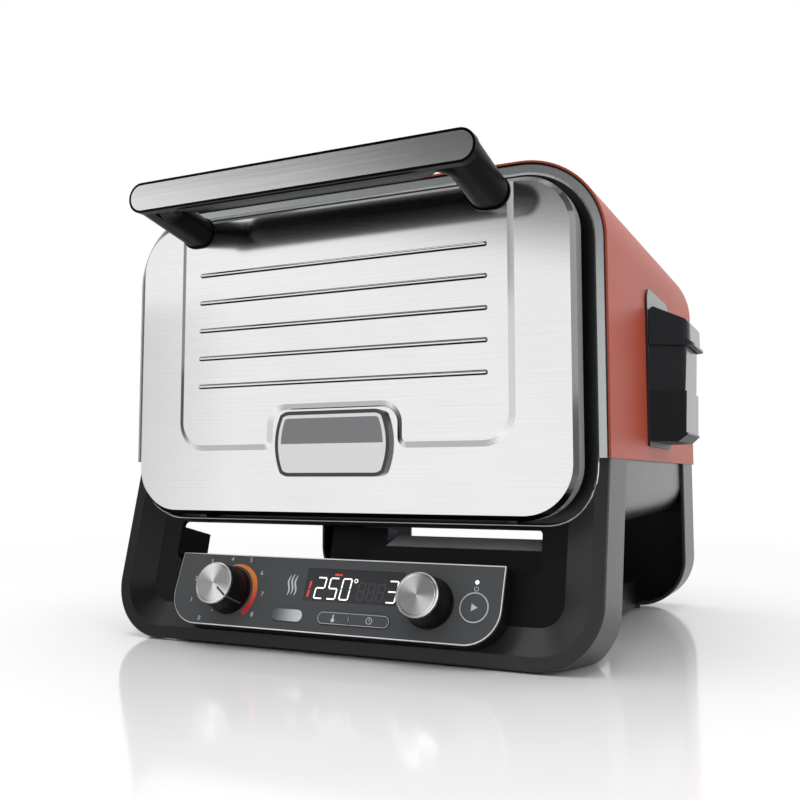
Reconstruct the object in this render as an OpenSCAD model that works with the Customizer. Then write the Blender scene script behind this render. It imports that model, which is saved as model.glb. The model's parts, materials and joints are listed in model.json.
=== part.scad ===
// Electric outdoor pizza oven: a painted oven body in a tilted cradle base, a drop-down steel door,
// a control panel with two knobs and a pellet smoke box on the right side.
// Millimetres, +Z up, the door faces -Y.

/* [Oven body] */
// Width of the painted shell
shell_w = 420; // [412:1:428]
// Top of the shell above the floor
shell_top = 366; // [360:1:372]
// Lower edge of the painted shell
shell_bottom = 146; // [143:1:149]
// Depth of the shell from front edge to back
shell_d = 378; // [372:1:390]
// Outside radius of the top corners of the shell
shell_r = 64; // [60:1:70]
// Sheet thickness of shell, pan and flange
sheet_t = 1.5; // [1.2:0.1:2]
// Visible width of the grey front bezel
bezel_w = 8.5; // [7:0.5:10]
// Depth of the front bezel
bezel_d = 11; // [10:0.5:14]
// Lowest point of the body pan
pan_bottom = 95; // [94:0.5:96]
// Lower corner radius of the body pan
pan_r = 30; // [26:1:34]

/* [Oven inside] */
// Room between the cavity wall and the side of the shell
side_room = 45; // [42:1:50]
// Floor of the oven cavity
cavity_bottom = 118; // [118:0.5:120]
// Room between the cavity roof and the top of the shell
top_room = 30; // [28:1:36]
// Room behind the cavity for the fan motor
motor_room = 33; // [30:1:40]
// Corner radius of the oven cavity
cavity_r = 24; // [18:1:30]
// Liner thickness
liner_t = 1.2; // [1:0.1:1.6]
// Thickness of the insulation blanket
wool_t = 10; // [8:1:12]
// Diameter of the heating rods
rod_d = 6.4; // [5:0.2:8]
// Radius of the convection fan
fan_r = 50; // [44:1:54]

/* [Door] */
// Lower edge of the door
door_bottom = 102; // [101.5:0.5:103]
// Door thickness without the handle
door_t = 17; // [16.5:0.5:18]
// Corner radius of the door
door_r = 40; // [36:1:44]
// Bevel round the steel face
door_bevel = 3.5; // [2.5:0.5:3.5]
// Gap between the door and the bezel
door_gap = 8; // [7:0.5:9]
// Length of the stamped ribs
rib_len = 252; // [230:2:262]
// Number of stamped ribs
rib_count = 5; // [3:1:5]
// Room between the lowest rib and the edge over the badge
rib_clear = 19.4; // [16:0.2:22]
// Drop from the top of the door to the uppermost rib
rib_drop = 47; // [44:1:52]
// Distance of the upright ridges from the middle
ridge_x = 145.5; // [140:0.5:150]
// Height of the lower ridge above the floor
ridge_z = 156.6; // [152:0.2:160]

/* [Handle] */
// Length of the handle bar
handle_w = 292; // [280:1:300]
// Height of the handle bar
handle_h = 24; // [22:1:26]
// Distance from the door face to the front of the handle
handle_reach = 70; // [62:1:76]
// Drop from the top of the shell to the middle of the bar
handle_low = 15.5; // [13:0.5:20]
// Drop of the arms from bar to door
arm_drop = 13; // [8:1:16]

/* [Badge] */
// Width of the bare badge plate
badge_w = 101; // [90:1:106]
// Height of the bare badge plate
badge_h = 51; // [46:1:54]
// Lower edge of the badge plate
badge_z = 133; // [130:1:135]

/* [Base] */
// How far the base frames stand in from the side of the shell
base_inset = 1.5; // [1:0.25:2.5]
// Backward lean of the front frame in degrees
base_tilt = 13.35; // [12.8:0.05:13.6]
// Distance the lean line stands before the door face at floor level
base_nose = 10.5; // [9:0.5:12]
// Radius of the lower corners of the base
base_r = 48; // [44:1:52]
// Height of the feet
base_lift = 4; // [3:0.5:5]
// Gap between the front frame and the floor
front_lift = 1.5; // [1:0.25:3]
// Depth of the front frame
frame_d = 51; // [48:1:54]
// Depth of the rear frame
rear_d = 58; // [52:1:62]

/* [Control panel] */
// Width of the panel across its top
panel_w = 280; // [274:1:284]
// Height of the panel along the slope
panel_h = 57; // [56:0.5:58]
// Lower edge of the panel along the slope
panel_s = 14; // [13.5:0.5:15]
// Further backward lean of the panel in degrees
panel_lean = 8; // [6:0.5:9]
// How far the upper edge of the panel stands out of the base
panel_proud = 6; // [5:0.5:8]
// Distance of the knobs from the middle
knob_x = 86; // [84:0.5:88]
// Height of the knob axes above the lower edge of the panel
knob_up = 27.5; // [27:0.5:29]
// Diameter of the knob at the panel
knob_d = 37; // [34:0.5:38]
// Length of the knob
knob_l = 25; // [22:0.5:28]
// Diameter of the start button
start_d = 19; // [17:0.5:20]
// Gap round a button
button_gap = 0.3; // [0.3:0.05:0.5]

/* [Smoke box] */
// Middle of the smoke box behind the door face
smoke_y = 201; // [196:1:206]
// Width of the smoke box at the wall
smoke_w = 96; // [90:1:100]
// Width of the smoke box at its outer face
smoke_out_w = 60; // [54:1:66]
// Reach of the hopper out of its plate
smoke_reach = 28; // [26:0.5:30]
// Height of the lid's lower edge above the lower edge of the shell
lid_up = 96; // [94:1:100]
// Height of the lid at the wall
lid_h = 32; // [30:1:34]
// Height of the hopper's lower end above the lower edge of the shell
hopper_up = 20; // [17:1:22]
// Radius of the outer edges of the hopper
smoke_r = 8; // [5:0.5:10]

/* [Hidden] */
$fn = 64;
half_w = shell_w / 2;
base_w = shell_w - 2 * base_inset;
shell_h = shell_top - shell_bottom;
door_stand_off = 3;
shell_front = door_t + door_stand_off;
shell_back = shell_front + shell_d;
bezel_set_back = 1;
bezel_front = shell_front + bezel_set_back;
bezel_back = bezel_front + bezel_d;
flange_back = bezel_back + sheet_t;
return_w = 8;
sharp = 0.1;
frame_t = 3;
pan_w = base_w - 2 * frame_t;
rear_t = 2;
rear_front = shell_back - sheet_t - rear_t;
opening_w = shell_w - 2 * (sheet_t + bezel_w);
opening_bottom = door_bottom - 4;
opening_r = 38;

// Oven inside
cavity_w = shell_w - 2 * side_room;
cavity_top = shell_top - top_room;
cavity_h = cavity_top - cavity_bottom;
liner_back = rear_front - motor_room;
back_wall = liner_back - liner_t;
liner_w = cavity_w + 2 * liner_t;
liner_r = cavity_r + liner_t;
fan_z = cavity_bottom + cavity_h / 2;
fan_can_r = fan_r + 14;
fan_can_d = 20;
shaft_r = 2.5;
shaft_gap = 0.05;
motor_r = 28;
shaft_l = 20;
motor_bracket_w = 90;
motor_bracket_h = 16;
probe_in = 55;
probe_x = cavity_w / 2 - probe_in;
probe_drop = 40;
probe_l = 46;
probe_r = 2.4;
heater_bend = 40;
heater_front = 60;
heater_rear = 90;
heater_socket = 14;
heater_roof_gap = 14;
heater_floor_gap = 12;
stone_front = 45;
stone_rear = 33;
rack_front = 52;
rack_rear = 38;
rail_front = 40;
rail_rear = 30;
rail_under = 8;
rail_over = 12;
rail_t = 1.5;
ledge_w = 12;
ledge_t = 2;
ledge_low = cavity_bottom + 32;
ledge_pitch = 55;
rack_half = cavity_w / 2 - 9;
wire_r = 2;
stone_t = 10;
stone_r = 14;
gasket_r = 3;
gasket_out = 6;

// Door
door_w = opening_w - 2 * door_gap;
door_top = shell_top - sheet_t - bezel_w - door_gap;
door_h = door_top - door_bottom;
skin_t = 1.2;
rim_t = 3;
rim_flange = 14;
plate_back_t = 2;
rib_top_z = door_top - rib_drop;
rib_r = 2;
rib_sink = 0.4;
field_h = 1.6;
field_edge = 4.5;
ridge_r = 22;
notch_r = 6;
shoulder_r = 15;
badge_ridge_x = badge_w / 2 + 7;
badge_ridge_top = badge_z + badge_h + 4;
rib_pitch = (rib_top_z - badge_ridge_top - rib_clear) / (rib_count - 1);
badge_t = 4;
badge_r = 13;
badge_side_r = 56;
badge_border = 3;
field_border = 2.6;
inlay_t = 0.8;
plug_gap = 0.5;
hinge_in = 54;
hinge_x = door_w / 2 - hinge_in;
hinge_y = 8.5;
hinge_z = door_bottom + 9;
hinge_t = 6;
hinge_slot = 1.5;
knuckle_r = 4.5;
pin_r = 2.5;
pin_gap = 0.05;
boss_l = 9;
boss_r = 5;
boss_h = 15;
arm_half = 4;
hinge_foot_gap = 1.2;
hinge_clear = 0.4;

// Handle
bar_t = 18;
bar_plate = 7;
bar_lap = 2.5;
tube_r = 11.1;
tube_y = bar_t - tube_r - handle_reach;
arm_w = 31;
arm_inset = 0.8;
section_step = 0.2;
bend_r = tube_r + section_step;
arm_r = bend_r + section_step;
arm_bend = 24;
arm_lap = 1;
arm_in = handle_w / 2 - arm_w + arm_r;
arm_out = handle_w / 2 - arm_inset - arm_r;
arm_slope = atan(-arm_drop / tube_y);
trim_border = 2;
trim_t = 1.4;
handle_z = shell_top - handle_low;

// Base
base_top = shell_bottom;
panel_top = panel_s + panel_h;
rim_w = 10;
dish_w = 20;
dish_d = 9;
bulkhead_t = 3;
bulkhead_back = dish_d + bulkhead_t;
dish_in = rim_w + dish_w;
slope_low = front_lift / cos(base_tilt);
side_bay = 48.5;
window_half = base_w / 2 - side_bay;
window_lap = 4;
window_low = panel_top - window_lap;
window_h = 33;
window_depth = 38;
window_r = 8;
pillar_half = 25;
pillar_set_back = 22;
roof_keep = 2;
roof_drop = 0.5;
cover_left = pillar_half - 4;
cover_h = 18.5;
cover_rise = 14;
cover_plate = 14;
cover_d = 34;
cover_r = 9;
cover_set_back = 2;
tray_half = base_w / 2 - side_bay;
tray_h = 26;
tray_t = 3;
foot_r = 15;
foot_front_x = tray_half - foot_r - 5;
foot_front_y = 30;
foot_rear_x = tray_half - foot_r;
foot_rear_in = 40;
rear_window_in = 90.5;
rear_window_half = base_w / 2 - rear_window_in;
rear_window_low = 40;
rear_window_high = 86;
rear_y = shell_back - 1;
gland_in = 58.5;
gland_x = gland_in - base_w / 2;
gland_z = 62;
gland_r = 11;
gland_neck = 3;
gland_out = 12;

// Control panel
panel_corner = 26;
housing_t = 3;
face_t = 2;
face_back = panel_proud - face_t;
trim_w = 0.8;
trim_proud = 0.4;
display_x = 22.3;
display_s = panel_s + 36.7;
display_w = 82;
display_h = 25;
display_pocket = 1.2;
led_x = 119.8;
led_s = panel_s + 44.6;
led_r = 1.5;
knob_s = panel_s + knob_up;
knob_lift = 0.6;
knob_skirt = 3;
knob_step = 0.8;
knob_top_r = knob_d / 2 - 2;
knob_shaft_r = 3;
cap_t = 3;
cap_r = knob_top_r - 0.4;
cap_edge = 0.8;
groove_r = cap_r - 2;
groove_d = 0.5;
spigot_r = 6;
spigot_l = 1.5;
switch_d = 11;
switch_r = 13;
encoder_w = 25;
switch_floor = 2;
pointer_l = 10.5;
pointer_turn = -35;
pointer_w = 1.6;
start_x = led_x;
start_s = panel_s + 26.6;
button_proud = 0.8;
button_flange = 1.4;
button_low = 1;
start_flange_w = 1.5;
pill_h = 9;
pill_s = panel_s + 11.9;
pill_left = -2.6;
pill_split = 24;
pill_right = 56.9;
flavour_left = -42.8;
flavour_right = -16.2;

// Smoke box
smoke_t = 2;
lid_z = shell_bottom + lid_up;
hopper_z = shell_bottom + hopper_up;
wall_x = half_w + smoke_t;
hopper_t = 2.5;
hopper_taper = 3.5;
cup_top = hopper_z + 38;
cup_out = 2;
hopper_w = smoke_w - 2;
hopper_lap = 8;
lid_fit = 0.5;
lid_t = 2.1;
lid_slope = 10;
lid_lip = 3;
lid_gap = 0.6;
lid_pin_r = 1.5;
lid_barrel_r = 3.2;
lid_axis_x = wall_x + lid_barrel_r + lid_gap;
lid_axis_z = lid_z + lid_h - lid_barrel_r;
lug_y = 30;
lug_w = 8;
lug_gap = 0.6;
duct_r = 12;
duct_z = lid_z - 30;
lid_reach = smoke_reach + lid_fit + lid_t;
smoke_out = smoke_t + lid_reach + lid_lip;

// Middle of the floor plan, so that the origin lies under the middle of the part
offset_x = smoke_out / 2;
offset_y = (shell_back + gland_out - handle_reach) / 2;

// assembly

// Moves the oven, drawn with the door face at y = 0, over the origin
module place() {
    translate([-offset_x, -offset_y, 0]) children();
}

// Stands an outline drawn in XY upright, with its depth towards the front
module upright(y, z) {
    translate([0, y, z]) rotate([90, 0, 0]) children();
}

// Lays children on the leaning front plane of the base: X across, Y up the slope, Z out of it
module on_slope() {
    translate([0, -base_nose, 0]) rotate([90 - base_tilt, 0, 0]) children();
}

// Lays children on the control panel, which leans further back than the base round its upper edge
module on_panel() {
    on_slope() translate([0, panel_top, panel_proud]) rotate([-panel_lean, 0, 0])
        translate([0, -panel_top, -panel_proud]) children();
}

// Turns a drawing in XY to the side of the oven: X to the back, Y up, depth to the right
module sideways(x) {
    translate([x, 0, 0]) rotate([90, 0, 90]) children();
}

// Outline standing on y = 0 with its own top and lower corner radii
module outline(w, h, r_top, r_low) {
    translate([-w / 2, r_low]) square([w, h - r_low - r_top]);
    translate([-w / 2 + r_low, 0]) square([w - 2 * r_low, r_low]);
    translate([-w / 2 + r_top, h - r_top]) square([w - 2 * r_top, r_top]);
    for (side = [-1, 1]) {
        translate([side * (w / 2 - r_low), r_low]) circle(r_low);
        translate([side * (w / 2 - r_top), h - r_top]) circle(r_top);
    }
}

// Runs a section round such an outline; section x counts outwards from the outline, y is the depth
module run_round(w, h, r_top, r_low, top = true, low = true) {
    y_low = low ? r_low : 0;
    y_top = top ? h - r_top : h;
    for (flip = [0, 1]) mirror([flip, 0, 0]) {
        translate([w / 2, (y_low + y_top) / 2, 0]) rotate([90, 0, 0])
            linear_extrude(y_top - y_low, center = true) children();
        if (top) translate([w / 2 - r_top, h - r_top, 0])
            rotate_extrude(angle = 90) translate([r_top, 0]) children();
        if (low) translate([w / 2 - r_low, r_low, 0]) rotate([0, 0, -90])
            rotate_extrude(angle = 90) translate([r_low, 0]) children();
    }
    if (top) translate([0, h, 0]) rotate([0, 0, 90]) rotate([90, 0, 0])
        linear_extrude(w - 2 * r_top, center = true) children();
    if (low) rotate([0, 0, -90]) rotate([90, 0, 0])
        linear_extrude(w - 2 * r_low, center = true) children();
}

// Straight run of a section between two points of the XY plane, along X or Y
module run_line(x0, y0, x1, y1) {
    translate([(x0 + x1) / 2, (y0 + y1) / 2, 0]) rotate([0, 0, y0 == y1 ? 90 : 0]) rotate([90, 0, 0])
        linear_extrude(norm([x1 - x0, y1 - y0]), center = true) children();
}

// Quarter bend of a section round a centre, starting at an angle
module run_bend(x, y, r, start) {
    translate([x, y, 0]) rotate([0, 0, start]) rotate_extrude(angle = 90) translate([r, 0]) children();
}

// Straight slot outline with round ends
module slot(w, h) {
    square([w - h, h], center = true);
    for (side = [-1, 1]) translate([side * (w - h) / 2, 0]) circle(h / 2);
}

// Round hole for the smoke duct through a side wall
module duct_hole(x, r) {
    translate([x, smoke_y, duct_z]) rotate([0, 90, 0]) cylinder(r = r, h = 3 * wool_t, center = true);
}

module outer_shell() {
    color([0.76, 0.34, 0.27]) place() difference() {
        upright(shell_back, shell_bottom) run_round(shell_w, shell_h, shell_r, 0, low = false)
            polygon([[0, 0], [0, shell_d], [-sheet_t, shell_d], [-sheet_t, sheet_t], [-return_w, sheet_t],
                [-return_w, 0]]);
        duct_hole(half_w, duct_r);
    }
}

module front_bezel() {
    edge = 1.5;
    color([0.55, 0.57, 0.57]) place() upright(bezel_back, shell_bottom)
        run_round(shell_w - 2 * sheet_t, shell_h - sheet_t, shell_r - sheet_t, 0, low = false)
            polygon([[0, 0], [0, bezel_d - edge], [-edge, bezel_d], [-bezel_w + edge, bezel_d],
                [-bezel_w, bezel_d - edge], [-bezel_w, 0]]);
}

module body_pan() {
    pan_d = rear_front - flange_back;
    lip = half_w - sheet_t - pan_w / 2;
    color([0.13, 0.13, 0.14]) place() {
        upright(rear_front, pan_bottom)
            run_round(pan_w, shell_bottom - pan_bottom, 0, pan_r, top = false)
                polygon([[0, 0], [0, pan_d], [-sheet_t, pan_d], [-sheet_t, 0]]);
        for (flip = [0, 1]) mirror([flip, 0, 0])
            translate([pan_w / 2 - sheet_t, flange_back, shell_bottom]) cube([lip + sheet_t, pan_d, sheet_t]);
    }
}

module liner_flange() {
    edge = 2;
    low = pan_bottom + edge;
    color([0.1, 0.1, 0.11]) place() upright(flange_back, low) linear_extrude(sheet_t) difference() {
        outline(pan_w - 2 * edge, shell_top - edge - low, shell_r - edge, pan_r - edge);
        translate([0, cavity_bottom - low]) outline(cavity_w, cavity_h, cavity_r, cavity_r);
    }
}

module oven_liner() {
    depth = liner_back - flange_back;
    color([0.62, 0.62, 0.6]) place() difference() {
        upright(liner_back, cavity_bottom - liner_t) linear_extrude(depth)
            outline(liner_w, cavity_h + 2 * liner_t, liner_r, liner_r);
        upright(back_wall, cavity_bottom) linear_extrude(depth)
            outline(cavity_w, cavity_h, cavity_r, cavity_r);
        translate([0, liner_back, fan_z]) rotate([90, 0, 0])
            cylinder(r = 2 * shaft_r, h = 4 * liner_t, center = true);
        duct_hole(cavity_w / 2, duct_r - sheet_t);
    }
}

module insulation() {
    end = 12;
    depth = liner_back - flange_back - 2 * end;
    color([0.85, 0.82, 0.72]) place() difference() {
        upright(liner_back - end, cavity_bottom - liner_t)
            run_round(liner_w, cavity_h + 2 * liner_t, liner_r, liner_r) square([wool_t, depth]);
        duct_hole(liner_w / 2, duct_r);
    }
}

module door_gasket() {
    color([0.2, 0.2, 0.2]) place() upright(bezel_back, cavity_bottom)
        run_round(cavity_w, cavity_h, cavity_r, cavity_r) translate([gasket_out, 0]) {
            translate([-gasket_r, 0]) square([2 * gasket_r, gasket_r]);
            translate([0, gasket_r]) circle(gasket_r);
        }
}

module rear_panel() {
    panel_top = shell_top - sheet_t - pan_bottom;
    vent_len = 42;
    vent_w = 5;
    vent_pitch = 15;
    vent_low = 54;
    vent_high = panel_top - 61.5;
    bead_len = 220;
    bead_count = 4;
    bead_pitch = (vent_high - vent_low) / (bead_count + 1);
    color([0.16, 0.16, 0.17]) place() {
        upright(shell_back - sheet_t, pan_bottom) {
            linear_extrude(rear_t) difference() {
                outline(pan_w, panel_top, shell_r - sheet_t, pan_r);
                for (i = [-5:5], row = [vent_low, vent_high]) translate([i * vent_pitch, row]) rotate(90)
                    slot(vent_len, vent_w);
            }
            for (i = [1:bead_count]) translate([0, vent_low + i * bead_pitch, -sheet_t])
                linear_extrude(sheet_t) slot(bead_len, vent_w + 3);
        }
    }
}

// Bent heating rod with its two ends in the back wall
module heater(z) {
    front_y = flange_back + heater_front;
    turn_y = back_wall - heater_rear;
    for (side = [-1, 1]) {
        translate([side * 3 * heater_bend, front_y, z]) rotate([-90, 0, 0])
            cylinder(d = rod_d, h = back_wall - front_y);
        translate([side * heater_bend, front_y, z]) rotate([-90, 0, 0])
            cylinder(d = rod_d, h = turn_y - front_y);
        translate([side * 2 * heater_bend, front_y, z]) rotate([0, 0, 180]) rotate_extrude(angle = 180)
            translate([heater_bend, 0]) circle(d = rod_d);
        translate([side * 3 * heater_bend, back_wall - heater_socket, z]) rotate([-90, 0, 0])
            cylinder(d = 2 * rod_d, h = heater_socket);
    }
    translate([0, turn_y, z]) rotate_extrude(angle = 180) translate([heater_bend, 0]) circle(d = rod_d);
}

module upper_element() {
    color([0.3, 0.27, 0.26]) place() heater(cavity_top - heater_roof_gap);
}

module lower_element() {
    color([0.3, 0.27, 0.26]) place() heater(cavity_bottom + heater_floor_gap);
}

module fan_cover() {
    holes = 12;
    hole_w = 6;
    color([0.58, 0.58, 0.57]) place() translate([0, back_wall, fan_z]) rotate([90, 0, 0]) difference() {
        rotate_extrude() polygon([[fan_can_r - liner_t, 0], [fan_can_r, 0], [fan_can_r, fan_can_d],
            [0, fan_can_d], [0, fan_can_d - liner_t], [fan_can_r - liner_t, fan_can_d - liner_t]]);
        for (i = [0:holes - 1]) rotate([0, 0, i * 360 / holes])
            translate([fan_r * 0.62, 0, fan_can_d - 2 * liner_t]) linear_extrude(4 * liner_t)
                slot(fan_r * 0.5, hole_w);
        cylinder(d = 2 * hole_w, h = 2 * fan_can_d);
    }
}

module fan_motor() {
    bracket_t = 3;
    color([0.35, 0.36, 0.38]) place() translate([0, liner_back, fan_z]) rotate([-90, 0, 0]) difference() {
        union() {
            cylinder(r = motor_r, h = rear_front - liner_back);
            linear_extrude(bracket_t) square([motor_bracket_w, motor_bracket_h], center = true);
        }
        translate([0, 0, -1]) cylinder(r = shaft_r + shaft_gap, h = shaft_l + 3);
    }
}

module fan_blade() {
    blades = 8;
    hub_r = 10;
    blade_d = 9;
    blade_y = 6;
    color([0.5, 0.5, 0.5]) place() translate([0, back_wall, fan_z]) rotate([90, 0, 0]) {
        translate([0, 0, -liner_t - shaft_l]) cylinder(r = shaft_r, h = shaft_l + liner_t + blade_y + 2);
        translate([0, 0, blade_y - 2]) cylinder(r = hub_r, h = 3);
        translate([0, 0, blade_y - 2]) cylinder(r = fan_r, h = 1);
        for (i = [0:blades - 1]) rotate([0, 0, i * 360 / blades]) translate([hub_r + 14, -0.5, blade_y - 2])
            cube([fan_r - hub_r - 15, 1, blade_d]);
    }
}

module temperature_probe() {
    probe_z = cavity_top - probe_drop;
    color([0.7, 0.7, 0.7]) place() translate([probe_x, back_wall, probe_z]) rotate([90, 0, 0]) {
        cylinder(r = 2.5 * probe_r, h = 3);
        cylinder(r = probe_r, h = probe_l);
        translate([0, 0, probe_l]) sphere(r = probe_r);
    }
}

module rail() {
    rail_y = flange_back + rail_front;
    rail_d = back_wall - rail_rear - rail_y;
    translate([cavity_w / 2 - rail_t, rail_y, ledge_low - rail_under])
        cube([rail_t, rail_d, 2 * ledge_pitch + rail_under + rail_over]);
    for (i = [0:2]) translate([cavity_w / 2 - ledge_w, rail_y, ledge_low + i * ledge_pitch])
        cube([ledge_w - rail_t / 2, rail_d, ledge_t]);
}

module rail_left() {
    color([0.6, 0.6, 0.6]) place() mirror([1, 0, 0]) rail();
}

module rail_right() {
    color([0.6, 0.6, 0.6]) place() rail();
}

module pizza_stone() {
    front_y = flange_back + stone_front;
    depth = back_wall - stone_rear - front_y;
    color([0.72, 0.63, 0.5]) place() translate([0, front_y, ledge_low + ledge_t]) linear_extrude(stone_t)
        outline(2 * rack_half, depth, stone_r, stone_r);
}

module roast_rack() {
    wires = 12;
    front_y = flange_back + rack_front;
    depth = back_wall - rack_rear - front_y;
    z = ledge_low + ledge_pitch + ledge_t + wire_r;
    pitch = 2 * rack_half / (wires + 1);
    color([0.75, 0.75, 0.76]) place() translate([0, front_y, z]) {
        for (side = [-1, 1]) translate([side * rack_half, 0, 0]) {
            rotate([-90, 0, 0]) cylinder(r = wire_r, h = depth);
            for (end = [0, 1]) translate([0, end * depth, 0]) sphere(r = wire_r);
        }
        for (end = [0, 1]) translate([-rack_half, end * depth, 0]) rotate([0, 90, 0])
            cylinder(r = wire_r, h = 2 * rack_half);
        for (i = [1:wires]) translate([-rack_half + i * pitch, 0, 0]) rotate([-90, 0, 0])
            cylinder(r = wire_r * 0.7, h = depth);
    }
}

// Bracket that reaches from the flange into a slot of the door, with the hinge pin through its eye
module hinge() {
    drop_y = shell_front - 1.5;
    foot_y = drop_y + 2.5;
    foot_low = opening_bottom + hinge_foot_gap;
    pin_l = hinge_t + 2 * (hinge_slot + boss_l - 1);
    sideways(hinge_x - hinge_t / 2) linear_extrude(hinge_t) {
        translate([hinge_y, hinge_z]) circle(knuckle_r);
        polygon([[hinge_y, hinge_z - arm_half], [drop_y, hinge_z - arm_half], [foot_y, foot_low],
            [bezel_back, foot_low], [bezel_back, hinge_z - arm_half], [foot_y, hinge_z],
            [drop_y, hinge_z + arm_half], [hinge_y, hinge_z + arm_half]]);
    }
    translate([hinge_x - pin_l / 2, hinge_y, hinge_z]) rotate([0, 90, 0]) cylinder(r = pin_r, h = pin_l);
}

module hinge_left() {
    color([0.45, 0.45, 0.46]) place() mirror([1, 0, 0]) hinge();
}

module hinge_right() {
    color([0.45, 0.45, 0.46]) place() hinge();
}

// Lower front opening of the base, which the door stands in
module door_opening() {
    upright(shell_front + 3 * frame_d, opening_bottom) linear_extrude(6 * frame_d)
        outline(opening_w, shell_h, sharp, opening_r);
}

module front_frame() {
    lean_top = base_top / cos(base_tilt) + frame_d;
    color([0.07, 0.07, 0.08]) place() intersection() {
        difference() {
            on_slope() translate([0, slope_low, 0])
                run_round(base_w, lean_top, 0, base_r, top = false)
                    polygon([[0, -frame_d], [0, -1], [-1, 0], [-rim_w, 0], [-dish_in, -dish_d],
                        [-dish_in, -bulkhead_back], [-rim_w, -frame_t], [-frame_t, -frame_t],
                        [-frame_t, -frame_d]]);
            on_panel() translate([0, 0, -frame_d]) linear_extrude(2 * frame_d) panel_outline(0);
            door_opening();
        }
        translate([-base_w, -base_w, front_lift]) cube([2 * base_w, 2 * base_w, base_top - front_lift]);
    }
}

// Outline of the wide window behind the panel
module window_outline() {
    translate([0, window_low]) outline(2 * window_half, window_h, window_r / 2, window_r);
}

module front_bulkhead() {
    inner_w = base_w - 2 * dish_in;
    sleeve_low = window_low - frame_t;
    roof_half = window_half + 2 * frame_t;
    roof_cut = window_low + window_h - window_r / 2 - roof_drop;
    color([0.05, 0.05, 0.055]) place() difference() {
        union() {
            on_slope() translate([0, slope_low + dish_in, -bulkhead_back]) linear_extrude(bulkhead_t)
                outline(inner_w, opening_bottom, sharp, base_r - dish_in);
            on_slope() translate([0, sleeve_low, -bulkhead_back - window_depth]) linear_extrude(window_depth)
                outline(2 * (window_half + frame_t), window_h + 2 * frame_t, window_r / 2 + frame_t,
                    window_r + frame_t);
        }
        difference() {
            union() {
                on_slope() translate([0, 0, -frame_d * 2]) linear_extrude(frame_d * 3) window_outline();
                on_slope() translate([-roof_half, roof_cut, -bulkhead_back - window_depth - 1])
                    cube([2 * roof_half, window_h, window_depth + 1 - roof_keep]);
            }
            on_slope() translate([-pillar_half, window_low - 1, -bulkhead_back - window_depth])
                cube([2 * pillar_half, window_h + 2 * frame_t, window_depth - pillar_set_back]);
        }
        door_opening();
    }
}

module electronics_cover() {
    front = bulkhead_back + cover_set_back;
    top_s = window_low + cover_h;
    rise_from = -front - cover_plate / 2;
    rise_to = -front - cover_d;
    color([0.09, 0.1, 0.12]) place() {
        on_slope() translate([0, 0, -front - cover_plate]) linear_extrude(cover_plate) intersection() {
            union() {
                translate([cover_left, 0]) square([shell_w, top_s - cover_r]);
                translate([cover_left + cover_r, 0]) square([shell_w, top_s]);
                translate([cover_left + cover_r, top_s - cover_r]) circle(cover_r);
            }
            window_outline();
        }
        intersection() {
            on_slope() sideways(pillar_half + frame_t) linear_extrude(shell_w)
                polygon([[0, rise_to], [0, rise_from], [top_s - 1, rise_from], [top_s + cover_rise, rise_to]]);
            on_slope() translate([0, window_low, rise_to - 1]) linear_extrude(cover_d)
                outline(2 * window_half, 2 * window_h, sharp, window_r);
        }
    }
}

module base_tray() {
    tray_front = 4;
    side_front = 22;
    wall_low = base_lift / cos(base_tilt) + frame_t;
    wall_top = 48;
    tray_back = rear_y - rear_d;
    color([0.06, 0.06, 0.065]) place() {
        translate([-tray_half, tray_front, base_lift]) cube([2 * tray_half, tray_back - tray_front, tray_t]);
        for (side = [-1, 1]) translate([side * (tray_half - tray_t / 2) - tray_t / 2, side_front, base_lift])
            cube([tray_t, tray_back - side_front, tray_h]);
        on_slope() translate([-tray_half, wall_low, -bulkhead_back - tray_t])
            cube([2 * tray_half, wall_top - wall_low, tray_t]);
    }
}

module rear_frame() {
    height = base_top - base_lift;
    color([0.07, 0.07, 0.08]) place() difference() {
        upright(rear_y, base_lift) {
            run_round(base_w, height, 0, base_r, top = false)
                polygon([[0, 1], [0, rear_d - 1], [-1, rear_d], [-frame_t, rear_d], [-frame_t, 0], [-1, 0]]);
            linear_extrude(frame_t) outline(base_w - 2 * frame_t, height, sharp, base_r - frame_t);
        }
        upright(shell_back + frame_t, pan_bottom) linear_extrude(2 * rear_d)
            outline(pan_w, shell_h, sharp, pan_r);
        upright(shell_back, rear_window_low) linear_extrude(2 * frame_t)
            outline(2 * rear_window_half, rear_window_high - rear_window_low, 8, 8);
        translate([gland_x, rear_y, gland_z]) rotate([90, 0, 0])
            cylinder(r = gland_r - gland_neck, h = 4 * frame_t, center = true);
    }
}

module cord_gland() {
    color([0.04, 0.04, 0.04]) place() translate([gland_x, rear_y, gland_z]) rotate([-90, 0, 0]) difference() {
        union() {
            cylinder(r = gland_r, h = 3);
            cylinder(r1 = gland_r - gland_neck, r2 = gland_r - gland_neck - 2, h = gland_out + 1);
        }
        translate([0, 0, 3]) cylinder(r = 3.6, h = gland_out);
    }
}

module foot(x, y) {
    translate([x, y, 0]) cylinder(r1 = foot_r - 1, r2 = foot_r, h = base_lift);
}

module foot_front_left() {
    color([0.03, 0.03, 0.03]) place() foot(-foot_front_x, foot_front_y);
}

module foot_front_right() {
    color([0.03, 0.03, 0.03]) place() foot(foot_front_x, foot_front_y);
}

module foot_rear_left() {
    color([0.03, 0.03, 0.03]) place() foot(-foot_rear_x, rear_y - foot_rear_in);
}

module foot_rear_right() {
    color([0.03, 0.03, 0.03]) place() foot(foot_rear_x, rear_y - foot_rear_in);
}

// Outline of the control panel, with sharp top corners and large lower corners
module panel_outline(inset) {
    translate([0, panel_s + inset])
        outline(panel_w - 2 * inset, panel_h - 2 * inset, sharp, panel_corner - inset);
}

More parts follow.
